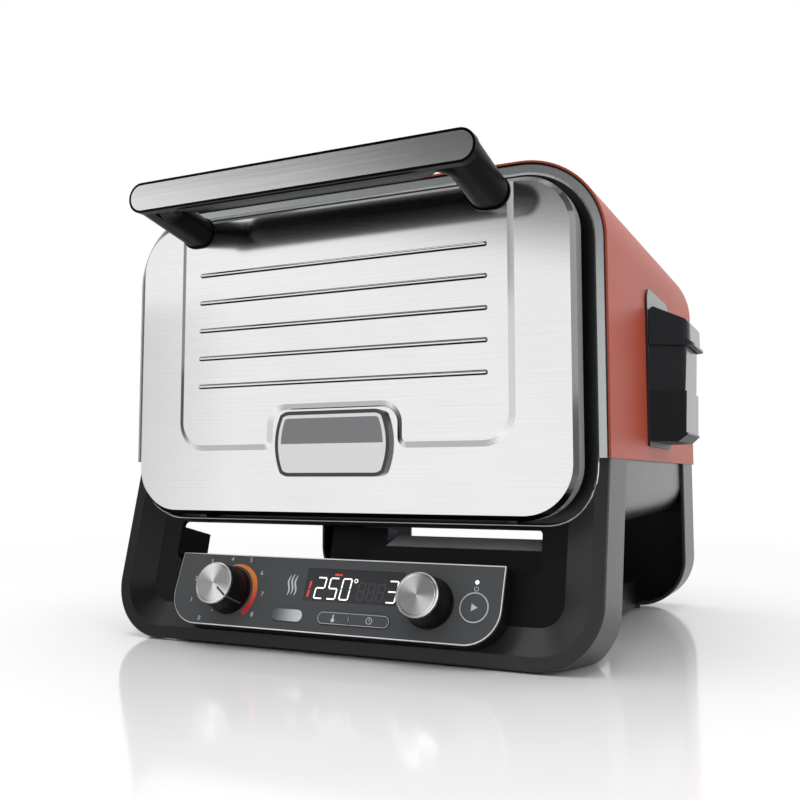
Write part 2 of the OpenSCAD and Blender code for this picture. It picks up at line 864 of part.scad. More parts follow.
module panel_housing() {
    color([0.05, 0.05, 0.055]) place() difference() {
        on_panel() translate([0, 0, -frame_d]) linear_extrude(frame_d + face_back) difference() {
            panel_outline(0);
            panel_outline(housing_t);
        }
        on_slope() translate([-base_w, -base_w, -dish_d - base_w]) cube([2 * base_w, 2 * base_w, base_w]);
    }
}

// Outline of a pill button between two x values, with a choice of round ends
module pill(x0, x1, s, h, round_left, round_right) {
    left = round_left ? x0 + h / 2 : x0;
    right = round_right ? x1 - h / 2 : x1;
    translate([left, s - h / 2]) square([right - left, h]);
    if (round_left) translate([left, s]) circle(h / 2);
    if (round_right) translate([right, s]) circle(h / 2);
}

module control_panel() {
    hole_h = pill_h + 2 * button_gap;
    color([0.17, 0.18, 0.2]) place() on_panel() translate([0, 0, face_back]) difference() {
        linear_extrude(face_t) difference() {
            panel_outline(trim_w);
            for (side = [-1, 1]) translate([side * knob_x, knob_s]) circle(knob_shaft_r + 2);
            translate([start_x, start_s]) circle(start_d / 2 + button_gap);
            translate([led_x, led_s]) circle(led_r);
            pill(pill_left - button_gap, pill_right + button_gap, pill_s, hole_h, true, true);
            pill(flavour_left - button_gap, flavour_right + button_gap, pill_s, hole_h, true, true);
        }
        translate([display_x, display_s, face_t - display_pocket]) linear_extrude(face_t)
            square([display_w, display_h], center = true);
    }
}

module panel_trim() {
    color([0.8, 0.81, 0.82]) place() on_panel() translate([0, 0, face_back])
        linear_extrude(face_t + trim_proud) difference() {
            panel_outline(0);
            panel_outline(trim_w);
        }
}

module display_window() {
    color([0.02, 0.02, 0.025]) place() on_panel()
        translate([display_x, display_s, panel_proud - display_pocket / 2 + 0.1])
            cube([display_w, display_h, display_pocket + 0.2], center = true);
}

module status_led() {
    color([0.9, 0.95, 1]) place() on_panel() translate([led_x, led_s, face_back]) {
        cylinder(r = led_r, h = face_t);
        translate([0, 0, face_t - 0.4]) sphere(r = led_r);
    }
}

module selector_switch() {
    low = face_back - switch_d;
    color([0.3, 0.3, 0.32]) place() on_panel() translate([-knob_x, knob_s, low]) difference() {
        cylinder(r = switch_r, h = switch_d);
        translate([0, 0, switch_floor]) cylinder(r = knob_shaft_r + shaft_gap, h = switch_d);
    }
}

module adjust_encoder() {
    low = face_back - switch_d;
    color([0.3, 0.3, 0.32]) place() on_panel() translate([knob_x, knob_s, low]) difference() {
        translate([0, 0, switch_d / 2]) cube([encoder_w, encoder_w, switch_d], center = true);
        translate([0, 0, switch_floor]) cylinder(r = knob_shaft_r + shaft_gap, h = switch_d);
    }
}

// Black knob body with its shaft, standing on its axis from the panel face
module knob() {
    skirt_low = panel_proud + knob_lift;
    shaft_low = face_back - switch_d + switch_floor + 1;
    body_top = panel_proud + knob_l - cap_t;
    difference() {
        union() {
            translate([0, 0, skirt_low]) cylinder(d = knob_d, h = knob_skirt);
            translate([0, 0, skirt_low + knob_skirt])
                cylinder(r1 = knob_d / 2 - knob_step, r2 = knob_top_r, h = body_top - skirt_low - knob_skirt);
            translate([0, 0, shaft_low]) cylinder(r = knob_shaft_r, h = skirt_low + knob_skirt - shaft_low);
        }
        translate([0, 0, body_top - spigot_l]) cylinder(r = spigot_r, h = 2 * spigot_l);
    }
}

// Turned steel cap of a knob with a ring groove
module knob_cap() {
    translate([0, 0, panel_proud + knob_l - cap_t]) rotate_extrude()
        polygon([[0, -spigot_l], [spigot_r, -spigot_l], [spigot_r, 0], [cap_r, 0], [cap_r, cap_t - cap_edge],
            [cap_r - cap_edge, cap_t], [groove_r + groove_d, cap_t], [groove_r, cap_t - groove_d],
            [groove_r - groove_d, cap_t], [0, cap_t]]);
}

module selector_knob() {
    color([0.06, 0.06, 0.065]) place() on_panel() translate([-knob_x, knob_s, 0]) knob();
}

module selector_cap() {
    color([0.75, 0.75, 0.75]) place() on_panel() translate([-knob_x, knob_s, 0]) difference() {
        knob_cap();
        rotate([0, 0, pointer_turn])
            translate([cap_r - pointer_l, -pointer_w / 2, panel_proud + knob_l - groove_d])
                cube([pointer_l + 1, pointer_w, cap_t]);
    }
}

module adjust_knob() {
    color([0.06, 0.06, 0.065]) place() on_panel() translate([knob_x, knob_s, 0]) knob();
}

module adjust_cap() {
    color([0.75, 0.75, 0.75]) place() on_panel() translate([knob_x, knob_s, 0]) knob_cap();
}

module start_button() {
    color([0.2, 0.21, 0.23]) place() on_panel() translate([start_x, start_s, 0]) {
        translate([0, 0, button_low]) cylinder(d = start_d, h = panel_proud + button_proud - button_low);
        translate([0, 0, button_low]) cylinder(d = start_d + 2 * start_flange_w, h = button_flange);
    }
}

module pill_button(x0, x1, round_left, round_right) {
    translate([0, 0, button_low]) linear_extrude(panel_proud + button_proud - button_low)
        pill(x0, x1, pill_s, pill_h, round_left, round_right);
}

module temp_button() {
    color([0.21, 0.22, 0.24]) place() on_panel()
        pill_button(pill_left, pill_split - button_gap, true, false);
}

module time_button() {
    color([0.21, 0.22, 0.24]) place() on_panel()
        pill_button(pill_split + button_gap, pill_right, false, true);
}

module flavour_button() {
    color([0.5, 0.5, 0.52]) place() on_panel() pill_button(flavour_left, flavour_right, true, true);
}

// Plan of the smoke box: wide at the wall, narrower outside, with rounded outer edges
module wall_plan(wide, narrow, reach, r) {
    lean = (wide - narrow) / 2;
    side_l = norm([lean, reach]);
    x_mid = reach - r;
    y_mid = wide / 2 - (lean * x_mid + r * side_l) / reach;
    x_side = x_mid + r * lean / side_l;
    y_side = y_mid + r * reach / side_l;
    polygon([[0, -wide / 2], [x_side, -y_side], [x_mid, -y_mid], [reach, -y_mid], [reach, y_mid],
        [x_mid, y_mid], [x_side, y_side], [0, wide / 2]]);
    for (side = [-1, 1]) translate([x_mid, side * y_mid]) circle(r);
}

// Block on the side wall with such a plan, cut to a side view drawn in X and Z
module wall_block(wide, narrow, reach, r) {
    intersection() {
        translate([wall_x, smoke_y, 0]) linear_extrude(shell_top) wall_plan(wide, narrow, reach, r);
        translate([wall_x, smoke_y + smoke_w, 0]) rotate([90, 0, 0]) linear_extrude(2 * smoke_w) children();
    }
}

module smoke_plate() {
    plate_low = hopper_z - 8;
    plate_w = smoke_w + 4;
    color([0.45, 0.47, 0.48]) place() difference() {
        union() {
            sideways(half_w) translate([smoke_y, plate_low]) linear_extrude(smoke_t)
                outline(plate_w, lid_z + lid_h + 16 - plate_low, 12, 4);
            for (side = [-1, 1]) translate([wall_x, smoke_y + side * lug_y + lug_w / 2, 0]) rotate([90, 0, 0])
                linear_extrude(lug_w) difference() {
                    union() {
                        translate([lid_axis_x - wall_x, lid_axis_z]) circle(lid_barrel_r);
                        translate([0, lid_axis_z - lid_barrel_r])
                            square([lid_axis_x - wall_x, 2 * lid_barrel_r]);
                    }
                    translate([lid_axis_x - wall_x, lid_axis_z]) circle(lid_pin_r + pin_gap);
                }
        }
        duct_hole(half_w, duct_r - sheet_t);
    }
}

module smoke_hopper() {
    low_reach = smoke_reach - hopper_taper;
    hopper_top = lid_z + hopper_lap;
    inner_reach = smoke_reach - hopper_t;
    neck = 0.5;
    foot = 4;
    color([0.1, 0.1, 0.11]) place() difference() {
        union() {
            wall_block(hopper_w, smoke_out_w, smoke_reach, smoke_r)
                polygon([[0, hopper_z], [low_reach, hopper_z], [smoke_reach, hopper_top], [0, hopper_top]]);
            wall_block(smoke_w + 1, smoke_out_w + 2 * cup_out, smoke_reach + cup_out, smoke_r + cup_out)
                polygon([[0, hopper_z - foot], [low_reach - foot, hopper_z - foot],
                    [low_reach + cup_out + 1.4, hopper_z + foot / 2], [low_reach + cup_out, hopper_z + foot],
                    [smoke_reach - neck, cup_top], [0, cup_top]]);
        }
        wall_block(hopper_w - 2 * hopper_t - 2, smoke_out_w - 2 * hopper_t, inner_reach, smoke_r - hopper_t)
            polygon([[-1, hopper_z + hopper_t], [low_reach - hopper_t, hopper_z + hopper_t],
                [inner_reach, hopper_top + 1], [-1, hopper_top + 1]]);
    }
}

module pellet_tray() {
    tray_in = hopper_t + 2;
    tray_wall = 1.5;
    back_gap = 0.6;
    reach = smoke_reach - hopper_taper - tray_in;
    inner_reach = reach - tray_wall;
    side_play = 4;
    tray_rise = 10;
    wide = smoke_w - 2 * (tray_in + side_play);
    narrow = smoke_out_w - 2 * tray_in;
    base = hopper_z + hopper_t;
    top = cup_top + tray_rise;
    r = smoke_r - tray_in;
    color([0.5, 0.5, 0.5]) place() difference() {
        wall_block(wide, narrow, reach, r)
            polygon([[back_gap, base], [reach, base], [reach, top], [back_gap, top]]);
        wall_block(wide - 4 * tray_wall, narrow - 3 * tray_wall, inner_reach, r - tray_wall)
            polygon([[back_gap + tray_wall, base + tray_wall], [inner_reach, base + tray_wall],
                [inner_reach, top + 1], [back_gap + tray_wall, top + 1]]);
    }
}

module smoke_duct() {
    duct_l = half_w - liner_w / 2;
    color([0.55, 0.55, 0.55]) place() translate([liner_w / 2, smoke_y, duct_z]) rotate([0, 90, 0])
        difference() {
            cylinder(r = duct_r, h = duct_l);
            translate([0, 0, -1]) cylinder(r = duct_r - sheet_t, h = half_w);
        }
}

module smoke_lid() {
    inner_w = hopper_w + 2 * lid_fit;
    inner_out_w = smoke_out_w + 2 * lid_fit;
    inner_reach = smoke_reach + lid_fit;
    wide = inner_w + 2 * lid_t;
    narrow = inner_out_w + 2 * lid_t;
    top = lid_z + lid_h;
    front_top = top - lid_slope;
    under_barrel = lid_axis_z - lid_barrel_r;
    barrel_l = wide - 8;
    axis_out = lid_axis_x - wall_x;
    color([0.09, 0.09, 0.1]) place() difference() {
        union() {
            wall_block(wide, narrow, lid_reach, smoke_r + lid_fit + lid_t)
                polygon([[lid_gap, lid_z], [lid_reach, lid_z], [lid_reach, front_top - 4],
                    [lid_reach - 3, front_top], [axis_out, top], [lid_gap, lid_axis_z]]);
            wall_block(wide, narrow - 4, lid_reach + lid_lip, smoke_r + lid_fit + lid_t)
                polygon([[lid_reach - 3, lid_z], [lid_reach + lid_lip, lid_z],
                    [lid_reach + lid_lip, lid_z + 2], [lid_reach - 3, lid_z + 6]]);
            translate([lid_axis_x, smoke_y, lid_axis_z]) rotate([90, 0, 0])
                cylinder(r = lid_barrel_r, h = barrel_l, center = true);
        }
        wall_block(inner_w, inner_out_w, inner_reach, smoke_r + lid_fit)
            polygon([[-1, lid_z - 1], [inner_reach, lid_z - 1], [inner_reach, front_top - 6],
                [axis_out + lid_barrel_r, under_barrel], [-1, under_barrel]]);
        difference() {
            for (side = [-1, 1])
                translate([wall_x - 1, smoke_y + side * lug_y - lug_w / 2 - lug_gap, under_barrel - 1])
                    cube([2 * lid_barrel_r + lid_gap + 1.8, lug_w + 2 * lug_gap, lid_h]);
            translate([lid_axis_x, smoke_y, lid_axis_z]) rotate([90, 0, 0])
                cylinder(r = lid_pin_r, h = barrel_l, center = true);
        }
    }
}

// Outline of the stamped field: it steps over the badge in the middle and runs up to the top of the door
module field_outline(inset) {
    low = ridge_z - door_bottom + inset;
    high = badge_ridge_top - door_bottom + inset;
    notch_half = badge_ridge_x + inset;
    corner = notch_r - inset;
    difference() {
        translate([0, low]) outline(2 * (ridge_x - inset), door_h - door_bevel - low, sharp, ridge_r - inset);
        translate([0, low - door_r]) outline(2 * notch_half, high - low + door_r, shoulder_r + inset, sharp);
        for (side = [-1, 1]) translate([side * (notch_half + corner / 2), low + corner / 2])
            square(corner, center = true);
    }
    for (side = [-1, 1]) translate([side * (notch_half + corner), low + corner]) circle(corner);
}

// Cross-section of the sloping edge of the field, falling away to +X or to -X
module field_slope(out) {
    mirror([out < 0 ? 1 : 0, 0]) polygon([[-field_edge / 2, -skin_t / 2], [-field_edge / 2, field_h],
        [field_edge / 2, 0], [field_edge / 2, -skin_t / 2]]);
}

// Half of the sloping edge: down beside the handle arm, round the corner, in to the badge and over it
module field_edge_half() {
    low = ridge_z - door_bottom;
    high = badge_ridge_top - door_bottom;
    run_line(ridge_x, low + ridge_r, ridge_x, door_h - door_bevel) field_slope(1);
    run_bend(ridge_x - ridge_r, low + ridge_r, ridge_r, -90) field_slope(1);
    run_line(badge_ridge_x + notch_r, low, ridge_x - ridge_r, low) field_slope(-1);
    run_bend(badge_ridge_x + notch_r, low + notch_r, notch_r, 180) field_slope(1);
    run_line(badge_ridge_x, low + notch_r, badge_ridge_x, high - shoulder_r) field_slope(-1);
    run_bend(badge_ridge_x - shoulder_r, high - shoulder_r, shoulder_r, 0) field_slope(-1);
    run_line(0, high, badge_ridge_x - shoulder_r, high) field_slope(-1);
}

module door_skin() {
    edge = door_t - door_bevel;
    face_r = door_r - door_bevel;
    color([0.74, 0.74, 0.74]) place() {
        upright(door_t, door_bottom) {
            translate([0, door_bevel, door_t - skin_t]) linear_extrude(skin_t)
                outline(door_w - 2 * door_bevel, door_h - 2 * door_bevel, face_r, face_r);
            run_round(door_w, door_h, door_r, door_r)
                polygon([[0, edge], [-door_bevel, door_t], [-door_bevel - 2, door_t],
                    [-door_bevel - 2, door_t - skin_t], [-rim_t, edge]]);
            translate([0, 0, door_t - skin_t / 2]) linear_extrude(skin_t / 2 + field_h)
                field_outline(field_edge / 2);
            translate([0, 0, door_t]) for (flip = [0, 1]) mirror([flip, 0, 0]) field_edge_half();
        }
        for (i = [0:rib_count - 1]) translate([0, -field_h + rib_sink, rib_top_z - i * rib_pitch]) {
            rotate([0, 90, 0]) cylinder(r = rib_r, h = rib_len, center = true);
            for (side = [-1, 1]) translate([side * rib_len / 2, 0, 0]) sphere(r = rib_r);
        }
    }
}

// Slots in the lower edge of the door that the hinge brackets swing through
module hinge_slots() {
    slot_w = hinge_t + 2 * hinge_slot;
    slot_front = hinge_y - knuckle_r - hinge_clear;
    slot_top = hinge_z + knuckle_r + 2;
    for (side = [-1, 1]) translate([side * hinge_x - slot_w / 2, slot_front, door_bottom - rim_t])
        cube([slot_w, 3 * door_t, slot_top - door_bottom + rim_t]);
}

module door_rim() {
    edge = door_t - door_bevel;
    boss_w = hinge_t + 2 * (hinge_slot + boss_l);
    boss_front = hinge_y - boss_r + 0.5;
    color([0.42, 0.43, 0.44]) place() difference() {
        union() {
            upright(door_t, door_bottom) run_round(door_w, door_h, door_r, door_r)
                polygon([[0, 0], [0, edge], [-rim_t, edge], [-rim_t, plate_back_t],
                    [-rim_flange, plate_back_t], [-rim_flange, 0]]);
            for (side = [-1, 1]) translate([side * hinge_x - boss_w / 2, boss_front, door_bottom + rim_t / 2])
                cube([boss_w, door_t - boss_front, boss_h]);
        }
        hinge_slots();
        translate([0, hinge_y, hinge_z]) rotate([0, 90, 0])
            cylinder(r = pin_r + pin_gap, h = door_w, center = true);
    }
}

module door_liner() {
    plug = bezel_back - 2 * gasket_r - plug_gap - door_t;
    plug_w = 14;
    color([0.55, 0.55, 0.54]) place() difference() {
        union() {
            upright(door_t + 1, door_bottom + 5) linear_extrude(1)
                outline(door_w - 10, door_h - 10, door_r - 5, door_r - 5);
            upright(door_t, cavity_bottom) rotate([0, 180, 0])
                run_round(cavity_w, cavity_h, cavity_r, cavity_r)
                    translate([gasket_out + gasket_r - plug_w, 0]) square([plug_w, plug]);
        }
        hinge_slots();
    }
}

// One end of the handle: the bar bends into an arm that slopes down to the door
module handle_arm() {
    translate([0, tube_y, handle_z]) rotate([-90 - arm_slope, 0, 0]) {
        translate([arm_in - arm_bend, 0, arm_bend]) rotate([90, 0, 0]) rotate([0, 0, -90])
            rotate_extrude(angle = 90) translate([arm_bend, 0]) circle(bend_r);
        translate([0, 0, -bar_lap]) linear_extrude(bar_lap + arm_bend) {
            translate([arm_in, -arm_r]) square([arm_out - arm_in, 2 * arm_r]);
            translate([arm_out, 0]) circle(arm_r);
        }
        translate([(arm_in + arm_out) / 2, 0, arm_bend - arm_lap]) linear_extrude(2 * handle_reach)
            slot(arm_w - arm_inset, 2 * arm_r);
    }
}

module handle_body() {
    color([0.06, 0.06, 0.065]) place() difference() {
        union() {
            upright(bar_plate - handle_reach, handle_z) linear_extrude(bar_plate) slot(handle_w, handle_h);
            translate([0, tube_y, handle_z]) rotate([0, 90, 0])
                cylinder(r = tube_r, h = 2 * (arm_in - arm_bend + arm_lap), center = true);
            for (flip = [0, 1]) mirror([flip, 0, 0]) handle_arm();
        }
        translate([-handle_w, -handle_reach - handle_w, 0]) cube([2 * handle_w, handle_w, 2 * shell_top]);
        translate([-handle_w, -field_h, 0]) cube([2 * handle_w, 4 * handle_reach, 2 * shell_top]);
        upright(trim_t - handle_reach, handle_z) linear_extrude(bar_t)
            slot(handle_w - 2 * trim_border, handle_h - 2 * trim_border);
    }
}

module handle_trim() {
    color([0.7, 0.7, 0.7]) place() upright(-handle_reach + trim_t, handle_z) linear_extrude(trim_t)
        slot(handle_w - 2 * trim_border, handle_h - 2 * trim_border);
}

// Barrel-sided badge outline round its middle
module badge_outline(inset) {
    barrel_x = badge_side_r - badge_w / 2;
    intersection() {
        translate([0, -badge_h / 2 + inset])
            outline(badge_w - 2 * inset, badge_h - 2 * inset, badge_r - inset, badge_r - inset);
        translate([barrel_x, 0]) circle(badge_side_r - inset);
        translate([-barrel_x, 0]) circle(badge_side_r - inset);
    }
}

// Upper field of the badge, inside its pale border
module badge_field() {
    intersection() {
        badge_outline(badge_border + field_border);
        translate([-badge_w / 2, 0]) square([badge_w, badge_h]);
    }
}

// Lays a badge inlay in the recess of the badge plate
module badge_inlay() {
    upright(-badge_t + inlay_t, badge_z + badge_h / 2) linear_extrude(inlay_t) children();
}

module badge_plate() {
    color([0.1, 0.1, 0.1]) place() upright(0, badge_z + badge_h / 2) difference() {
        linear_extrude(badge_t) badge_outline(0);
        translate([0, 0, badge_t - inlay_t]) linear_extrude(badge_t) badge_outline(badge_border);
    }
}

module badge_upper() {
    color([0.45, 0.45, 0.45]) place() badge_inlay() badge_field();
}

module badge_lower() {
    color([0.92, 0.92, 0.92]) place() badge_inlay() difference() {
        badge_outline(badge_border);
        badge_field();
    }
}

outer_shell();
front_bezel();
body_pan();
liner_flange();
oven_liner();
insulation();
door_gasket();
rear_panel();
upper_element();
lower_element();
fan_cover();
fan_motor();
temperature_probe();
rail_left();
rail_right();
pizza_stone();
roast_rack();
hinge_left();
hinge_right();
cord_gland();
front_frame();
front_bulkhead();
electronics_cover();
base_tray();
rear_frame();
foot_front_left();
foot_front_right();
foot_rear_left();
foot_rear_right();
panel_housing();
control_panel();
panel_trim();
display_window();
status_led();
selector_switch();
adjust_encoder();
smoke_plate();
smoke_hopper();
pellet_tray();
smoke_duct();
door_skin();
door_rim();
door_liner();
handle_body();
handle_trim();
badge_plate();
badge_upper();
badge_lower();
selector_knob();
selector_cap();
adjust_knob();
adjust_cap();
start_button();
temp_button();
time_button();
flavour_button();
smoke_lid();
fan_blade();
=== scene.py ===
import json
import math

import bmesh
import bpy
from bpy.props import FloatProperty, FloatVectorProperty, IntProperty, PointerProperty
from mathutils import Matrix, Vector


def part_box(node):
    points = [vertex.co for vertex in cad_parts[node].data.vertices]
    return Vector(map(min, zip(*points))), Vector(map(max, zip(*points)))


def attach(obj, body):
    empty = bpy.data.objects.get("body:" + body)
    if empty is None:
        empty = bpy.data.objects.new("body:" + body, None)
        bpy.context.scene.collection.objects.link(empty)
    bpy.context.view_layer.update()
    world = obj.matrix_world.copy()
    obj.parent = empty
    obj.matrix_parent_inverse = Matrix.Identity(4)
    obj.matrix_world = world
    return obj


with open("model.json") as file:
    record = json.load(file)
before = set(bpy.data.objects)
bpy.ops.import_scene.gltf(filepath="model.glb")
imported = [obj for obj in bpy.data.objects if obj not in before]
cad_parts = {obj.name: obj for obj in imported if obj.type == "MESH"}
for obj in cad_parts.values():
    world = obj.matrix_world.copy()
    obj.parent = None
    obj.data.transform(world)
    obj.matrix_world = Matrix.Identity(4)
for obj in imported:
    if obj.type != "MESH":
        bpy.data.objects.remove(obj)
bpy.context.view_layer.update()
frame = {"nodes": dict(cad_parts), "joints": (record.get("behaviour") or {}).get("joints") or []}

bl_info = {
    "name": "Outdoor pizza oven",
    "version": (1, 0, 0),
    "blender": (4, 5, 0),
    "location": "3D View > Sidebar > Oven",
    "description": "Dresses the packed oven with finishes, print, fasteners and a studio stage",
    "category": "Object",
}

MM = 0.001
RIGHT, LEFT = (1.0, 0.0, 0.0), (-1.0, 0.0, 0.0)
FRONT, BACK = (0.0, -1.0, 0.0), (0.0, 1.0, 0.0)
UP, DOWN = (0.0, 0.0, 1.0), (0.0, 0.0, -1.0)
NODES = frame["nodes"]
JOINTS = {joint["name"]: joint for joint in frame["joints"]}


def tone(red, green, blue):
    """Linear colour for a display colour from 0 to 255."""
    def linear(value):
        share = value / 255
        return share / 12.92 if share <= 0.04045 else ((share + 0.055) / 1.055) ** 2.4
    return (linear(red), linear(green), linear(blue))


def shade(colour, factor):
    """The colour made lighter or darker."""
    return tuple(min(1.0, channel * factor) for channel in colour)


def colour_prop(name, description, default):
    """Colour setting of a finish."""
    return FloatVectorProperty(name=name, description=description, default=default, subtype="COLOR",
                               size=3, min=0.0, max=1.0)


def length_prop(name, description, default):
    """Length setting in metres."""
    return FloatProperty(name=name, description=description, default=default, unit="LENGTH", min=0.0)


class OvenColours(bpy.types.PropertyGroup):
    """Colours of the oven's finishes"""
    shell: colour_prop("Shell paint", "Terracotta powder coat of the outer shell", tone(168, 72, 53))
    bezel: colour_prop("Bezel", "Satin grey of the front bezel and smoke plate", tone(182, 185, 186))
    steel: colour_prop("Steel", "Brushed steel of the door and the handle", tone(240, 240, 241))
    rim: colour_prop("Door rim", "Grey side wall of the door", tone(158, 161, 163))
    enamel: colour_prop("Black enamel", "Gloss black of base and pan", tone(13, 13, 14))
    plastic: colour_prop("Black plastic", "Grained black of handle, knobs and gland", tone(12, 12, 13))
    panel: colour_prop("Panel", "Dark grey of the control panel", tone(82, 84, 86))
    glass: colour_prop("Display", "Dark window of the display", tone(58, 59, 61))
    ink: colour_prop("Print", "Pale print on the panel", tone(206, 208, 210))
    warm: colour_prop("Warm end", "Start of the heat scale", tone(238, 132, 42))
    hot: colour_prop("Hot end", "End of the heat scale", tone(202, 40, 46))
    glow: colour_prop("Lit digits", "Lit segments of the display", (1.0, 1.0, 1.0))
    smoke: colour_prop("Smoke box", "Slate black of hopper and lid", tone(18, 20, 23))
    stone: colour_prop("Stone", "Pizza stone", tone(196, 176, 146))


class OvenSizes(bpy.types.PropertyGroup):
    """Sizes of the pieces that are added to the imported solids"""
    print_lift: length_prop("Print height", "Height of print above its surface", 0.05 * MM)
    numeral: length_prop("Numeral height", "Height of the numerals round the selector", 3.6 * MM)
    dial_radius: length_prop("Dial radius", "Radius of the numerals round the selector", 30.0 * MM)
    dial_stretch: FloatProperty(name="Dial stretch", default=1.25, min=1.0,
                                description="How far the left numerals stand out past the knob")
    scale_inner: length_prop("Heat scale inside", "Inner radius of the heat scale", 20.4 * MM)
    scale_outer: length_prop("Heat scale outside", "Outer radius of the heat scale", 24.4 * MM)
    digit: length_prop("Digit height", "Height of the lit digits", 15.8 * MM)
    screw: length_prop("Screw head", "Radius of the screw heads", 3.4 * MM)
    liner_sheet: length_prop("Liner sheet", "Thickness of the door liner under its screws", 1.0 * MM)
    lip: length_prop("Opening lip", "Radius of the bright lip along the door opening", 0.9 * MM)
    reading: IntProperty(name="Reading", description="Number that the display shows",
                         default=250, min=0, max=999)
    start_ring: length_prop("Start ring", "Outer radius of the bright ring round the start button", 10.8 * MM)
    ring_gap: length_prop("Ring gap", "Gap between the start button and its ring", 0.35 * MM)
    bezel_band: length_prop("Bezel band", "Width of the grey bezel round the opening", 8.5 * MM)
    opening_low: length_prop("Opening edge", "Height of the lower edge of the door opening", 98.0 * MM)
    opening_bend: length_prop("Opening bend", "Radius of the lower corners of the door opening", 38.0 * MM)
    dish_depth: length_prop("Dish depth", "Depth of the dished front of the base", 9.0 * MM)
    dish_run: length_prop("Dish run", "Width over which the front of the base falls into its dish", 20.0 * MM)
    collar: length_prop("Collar", "Thickness of the collars where the handle meets the door", 1.2 * MM)
    cup_tall: length_prop("Cup height", "Height of the smoke box's dark cup over its lowest point", 42.0 * MM)
    grip_half: length_prop("Grip half", "Half length of the grip behind the handle bar", 127.0 * MM)
    grip_deep: length_prop("Grip depth", "Depth of the grip behind the handle's steel inlay", 34.0 * MM)
    grip_lap: length_prop("Grip lap", "How far the grip reaches into and past the bar's inlay", 2.6 * MM)
    grip_taper: FloatProperty(name="Grip taper", description="Share of the grip's half length that runs out",
                              default=0.26, min=0.01, max=1.0)
    base_lean: FloatProperty(name="Base lean", description="Backward lean of the front frame",
                             default=math.radians(13.35), subtype="ANGLE")
    lean_foot: FloatProperty(name="Lean foot", default=-0.1805, unit="LENGTH",
                             description="Where the lean line of the front frame meets the floor")


class OvenStage(bpy.types.PropertyGroup):
    """Camera, floor and light"""
    lens: FloatProperty(name="Lens", description="Focal length of the camera in millimetres",
                        default=41.85, min=1.0)
    turn: FloatProperty(name="Turn", description="Camera's turn round the oven", default=math.radians(25.71),
                        subtype="ANGLE")
    pitch: FloatProperty(name="Pitch", description="Camera's upward pitch", default=math.radians(4.79),
                         subtype="ANGLE")
    eye: FloatVectorProperty(name="Eye", description="Place of the camera", default=(0.3400, -0.7939, 0.132),
                             subtype="XYZ", unit="LENGTH", size=3)
    fill: FloatProperty(name="Fill", description="Strength of the even light from all round",
                        default=0.52, min=0.0)
    floor: colour_prop("Floor", "Pale studio floor", tone(244, 244, 245))


class Wire:
    """A shader socket; Python maths on it adds Math nodes."""

    def __init__(self, tree, socket):
        self.tree = tree
        self.socket = socket

    def node(self, kind, settings=None, inputs=None, out=0):
        """Adds a shader node: its settings first, then the values or links of its sockets."""
        node = self.tree.nodes.new("ShaderNode" + kind)
        for key, value in (settings or {}).items():
            if key == "stops":
                self.set_stops(node.color_ramp, value)
            else:
                setattr(node, key, value)
        for key, value in (inputs or {}).items():
            self.join(value, node.inputs[key])
        return Wire(self.tree, node.outputs[out])

    def join(self, value, socket):
        if isinstance(value, Wire):
            self.tree.links.new(value.socket, socket)
        elif socket.type == "RGBA" and len(value) == 3:
            socket.default_value = (*value, 1.0)
        else:
            socket.default_value = value

    @staticmethod
    def set_stops(ramp, stops):
        while len(ramp.elements) < len(stops):
            ramp.elements.new(1.0)
        for element, (place, colour) in zip(ramp.elements, stops):
            element.position = place
            element.color = (*colour, 1.0)

    def math(self, operation, first, second=0.0):
        return self.node("Math", {"operation": operation}, {0: first, 1: second})

    def __add__(self, other):
        return self.math("ADD", self, other)

    __radd__ = __add__

    def __sub__(self, other):
        return self.math("SUBTRACT", self, other)

    def __rsub__(self, other):
        return self.math("SUBTRACT", other, self)

    def __mul__(self, other):
        return self.math("MULTIPLY", self, other)

    __rmul__ = __mul__

    def __truediv__(self, other):
        return self.math("DIVIDE", self, other)

    def __pow__(self, other):
        return self.math("POWER", self, other)

    def cosine(self):
        return self.math("COSINE", self)

    def angle_with(self, other):
        return self.math("ARCTAN2", self, other)

    def larger(self, other):
        return self.math("MAXIMUM", self, other)

    def rise(self, low, high):
        """Smooth step from 0 at low to 1 at high."""
        return self.node("MapRange", {"interpolation_type": "SMOOTHSTEP"},
                         {"Value": self, "From Min": low, "From Max": high, "To Min": 0.0, "To Max": 1.0})

    def mix(self, first, second):
        """Colour between two colours, with this socket as the share."""
        return self.node("Mix", {"data_type": "RGBA"}, {0: self, 6: first, 7: second}, 2)

    def scaled(self, factors):
        return self.node("VectorMath", {"operation": "MULTIPLY"}, {0: self, 1: factors})

    def away_from(self, point):
        return self.node("VectorMath", {"operation": "SUBTRACT"}, {0: self, 1: tuple(point)})

    def along(self, direction):
        return self.node("VectorMath", {"operation": "DOT_PRODUCT"}, {0: self, 1: direction}, 1)

    def noise(self, scale, detail=3.0, rough=0.55):
        return self.node("TexNoise", {}, {"Vector": self, "Scale": scale, "Detail": detail,
                                          "Roughness": rough})

    def bump(self, distance, strength=1.0):
        return self.node("Bump", {}, {"Height": self, "Distance": distance, "Strength": strength})


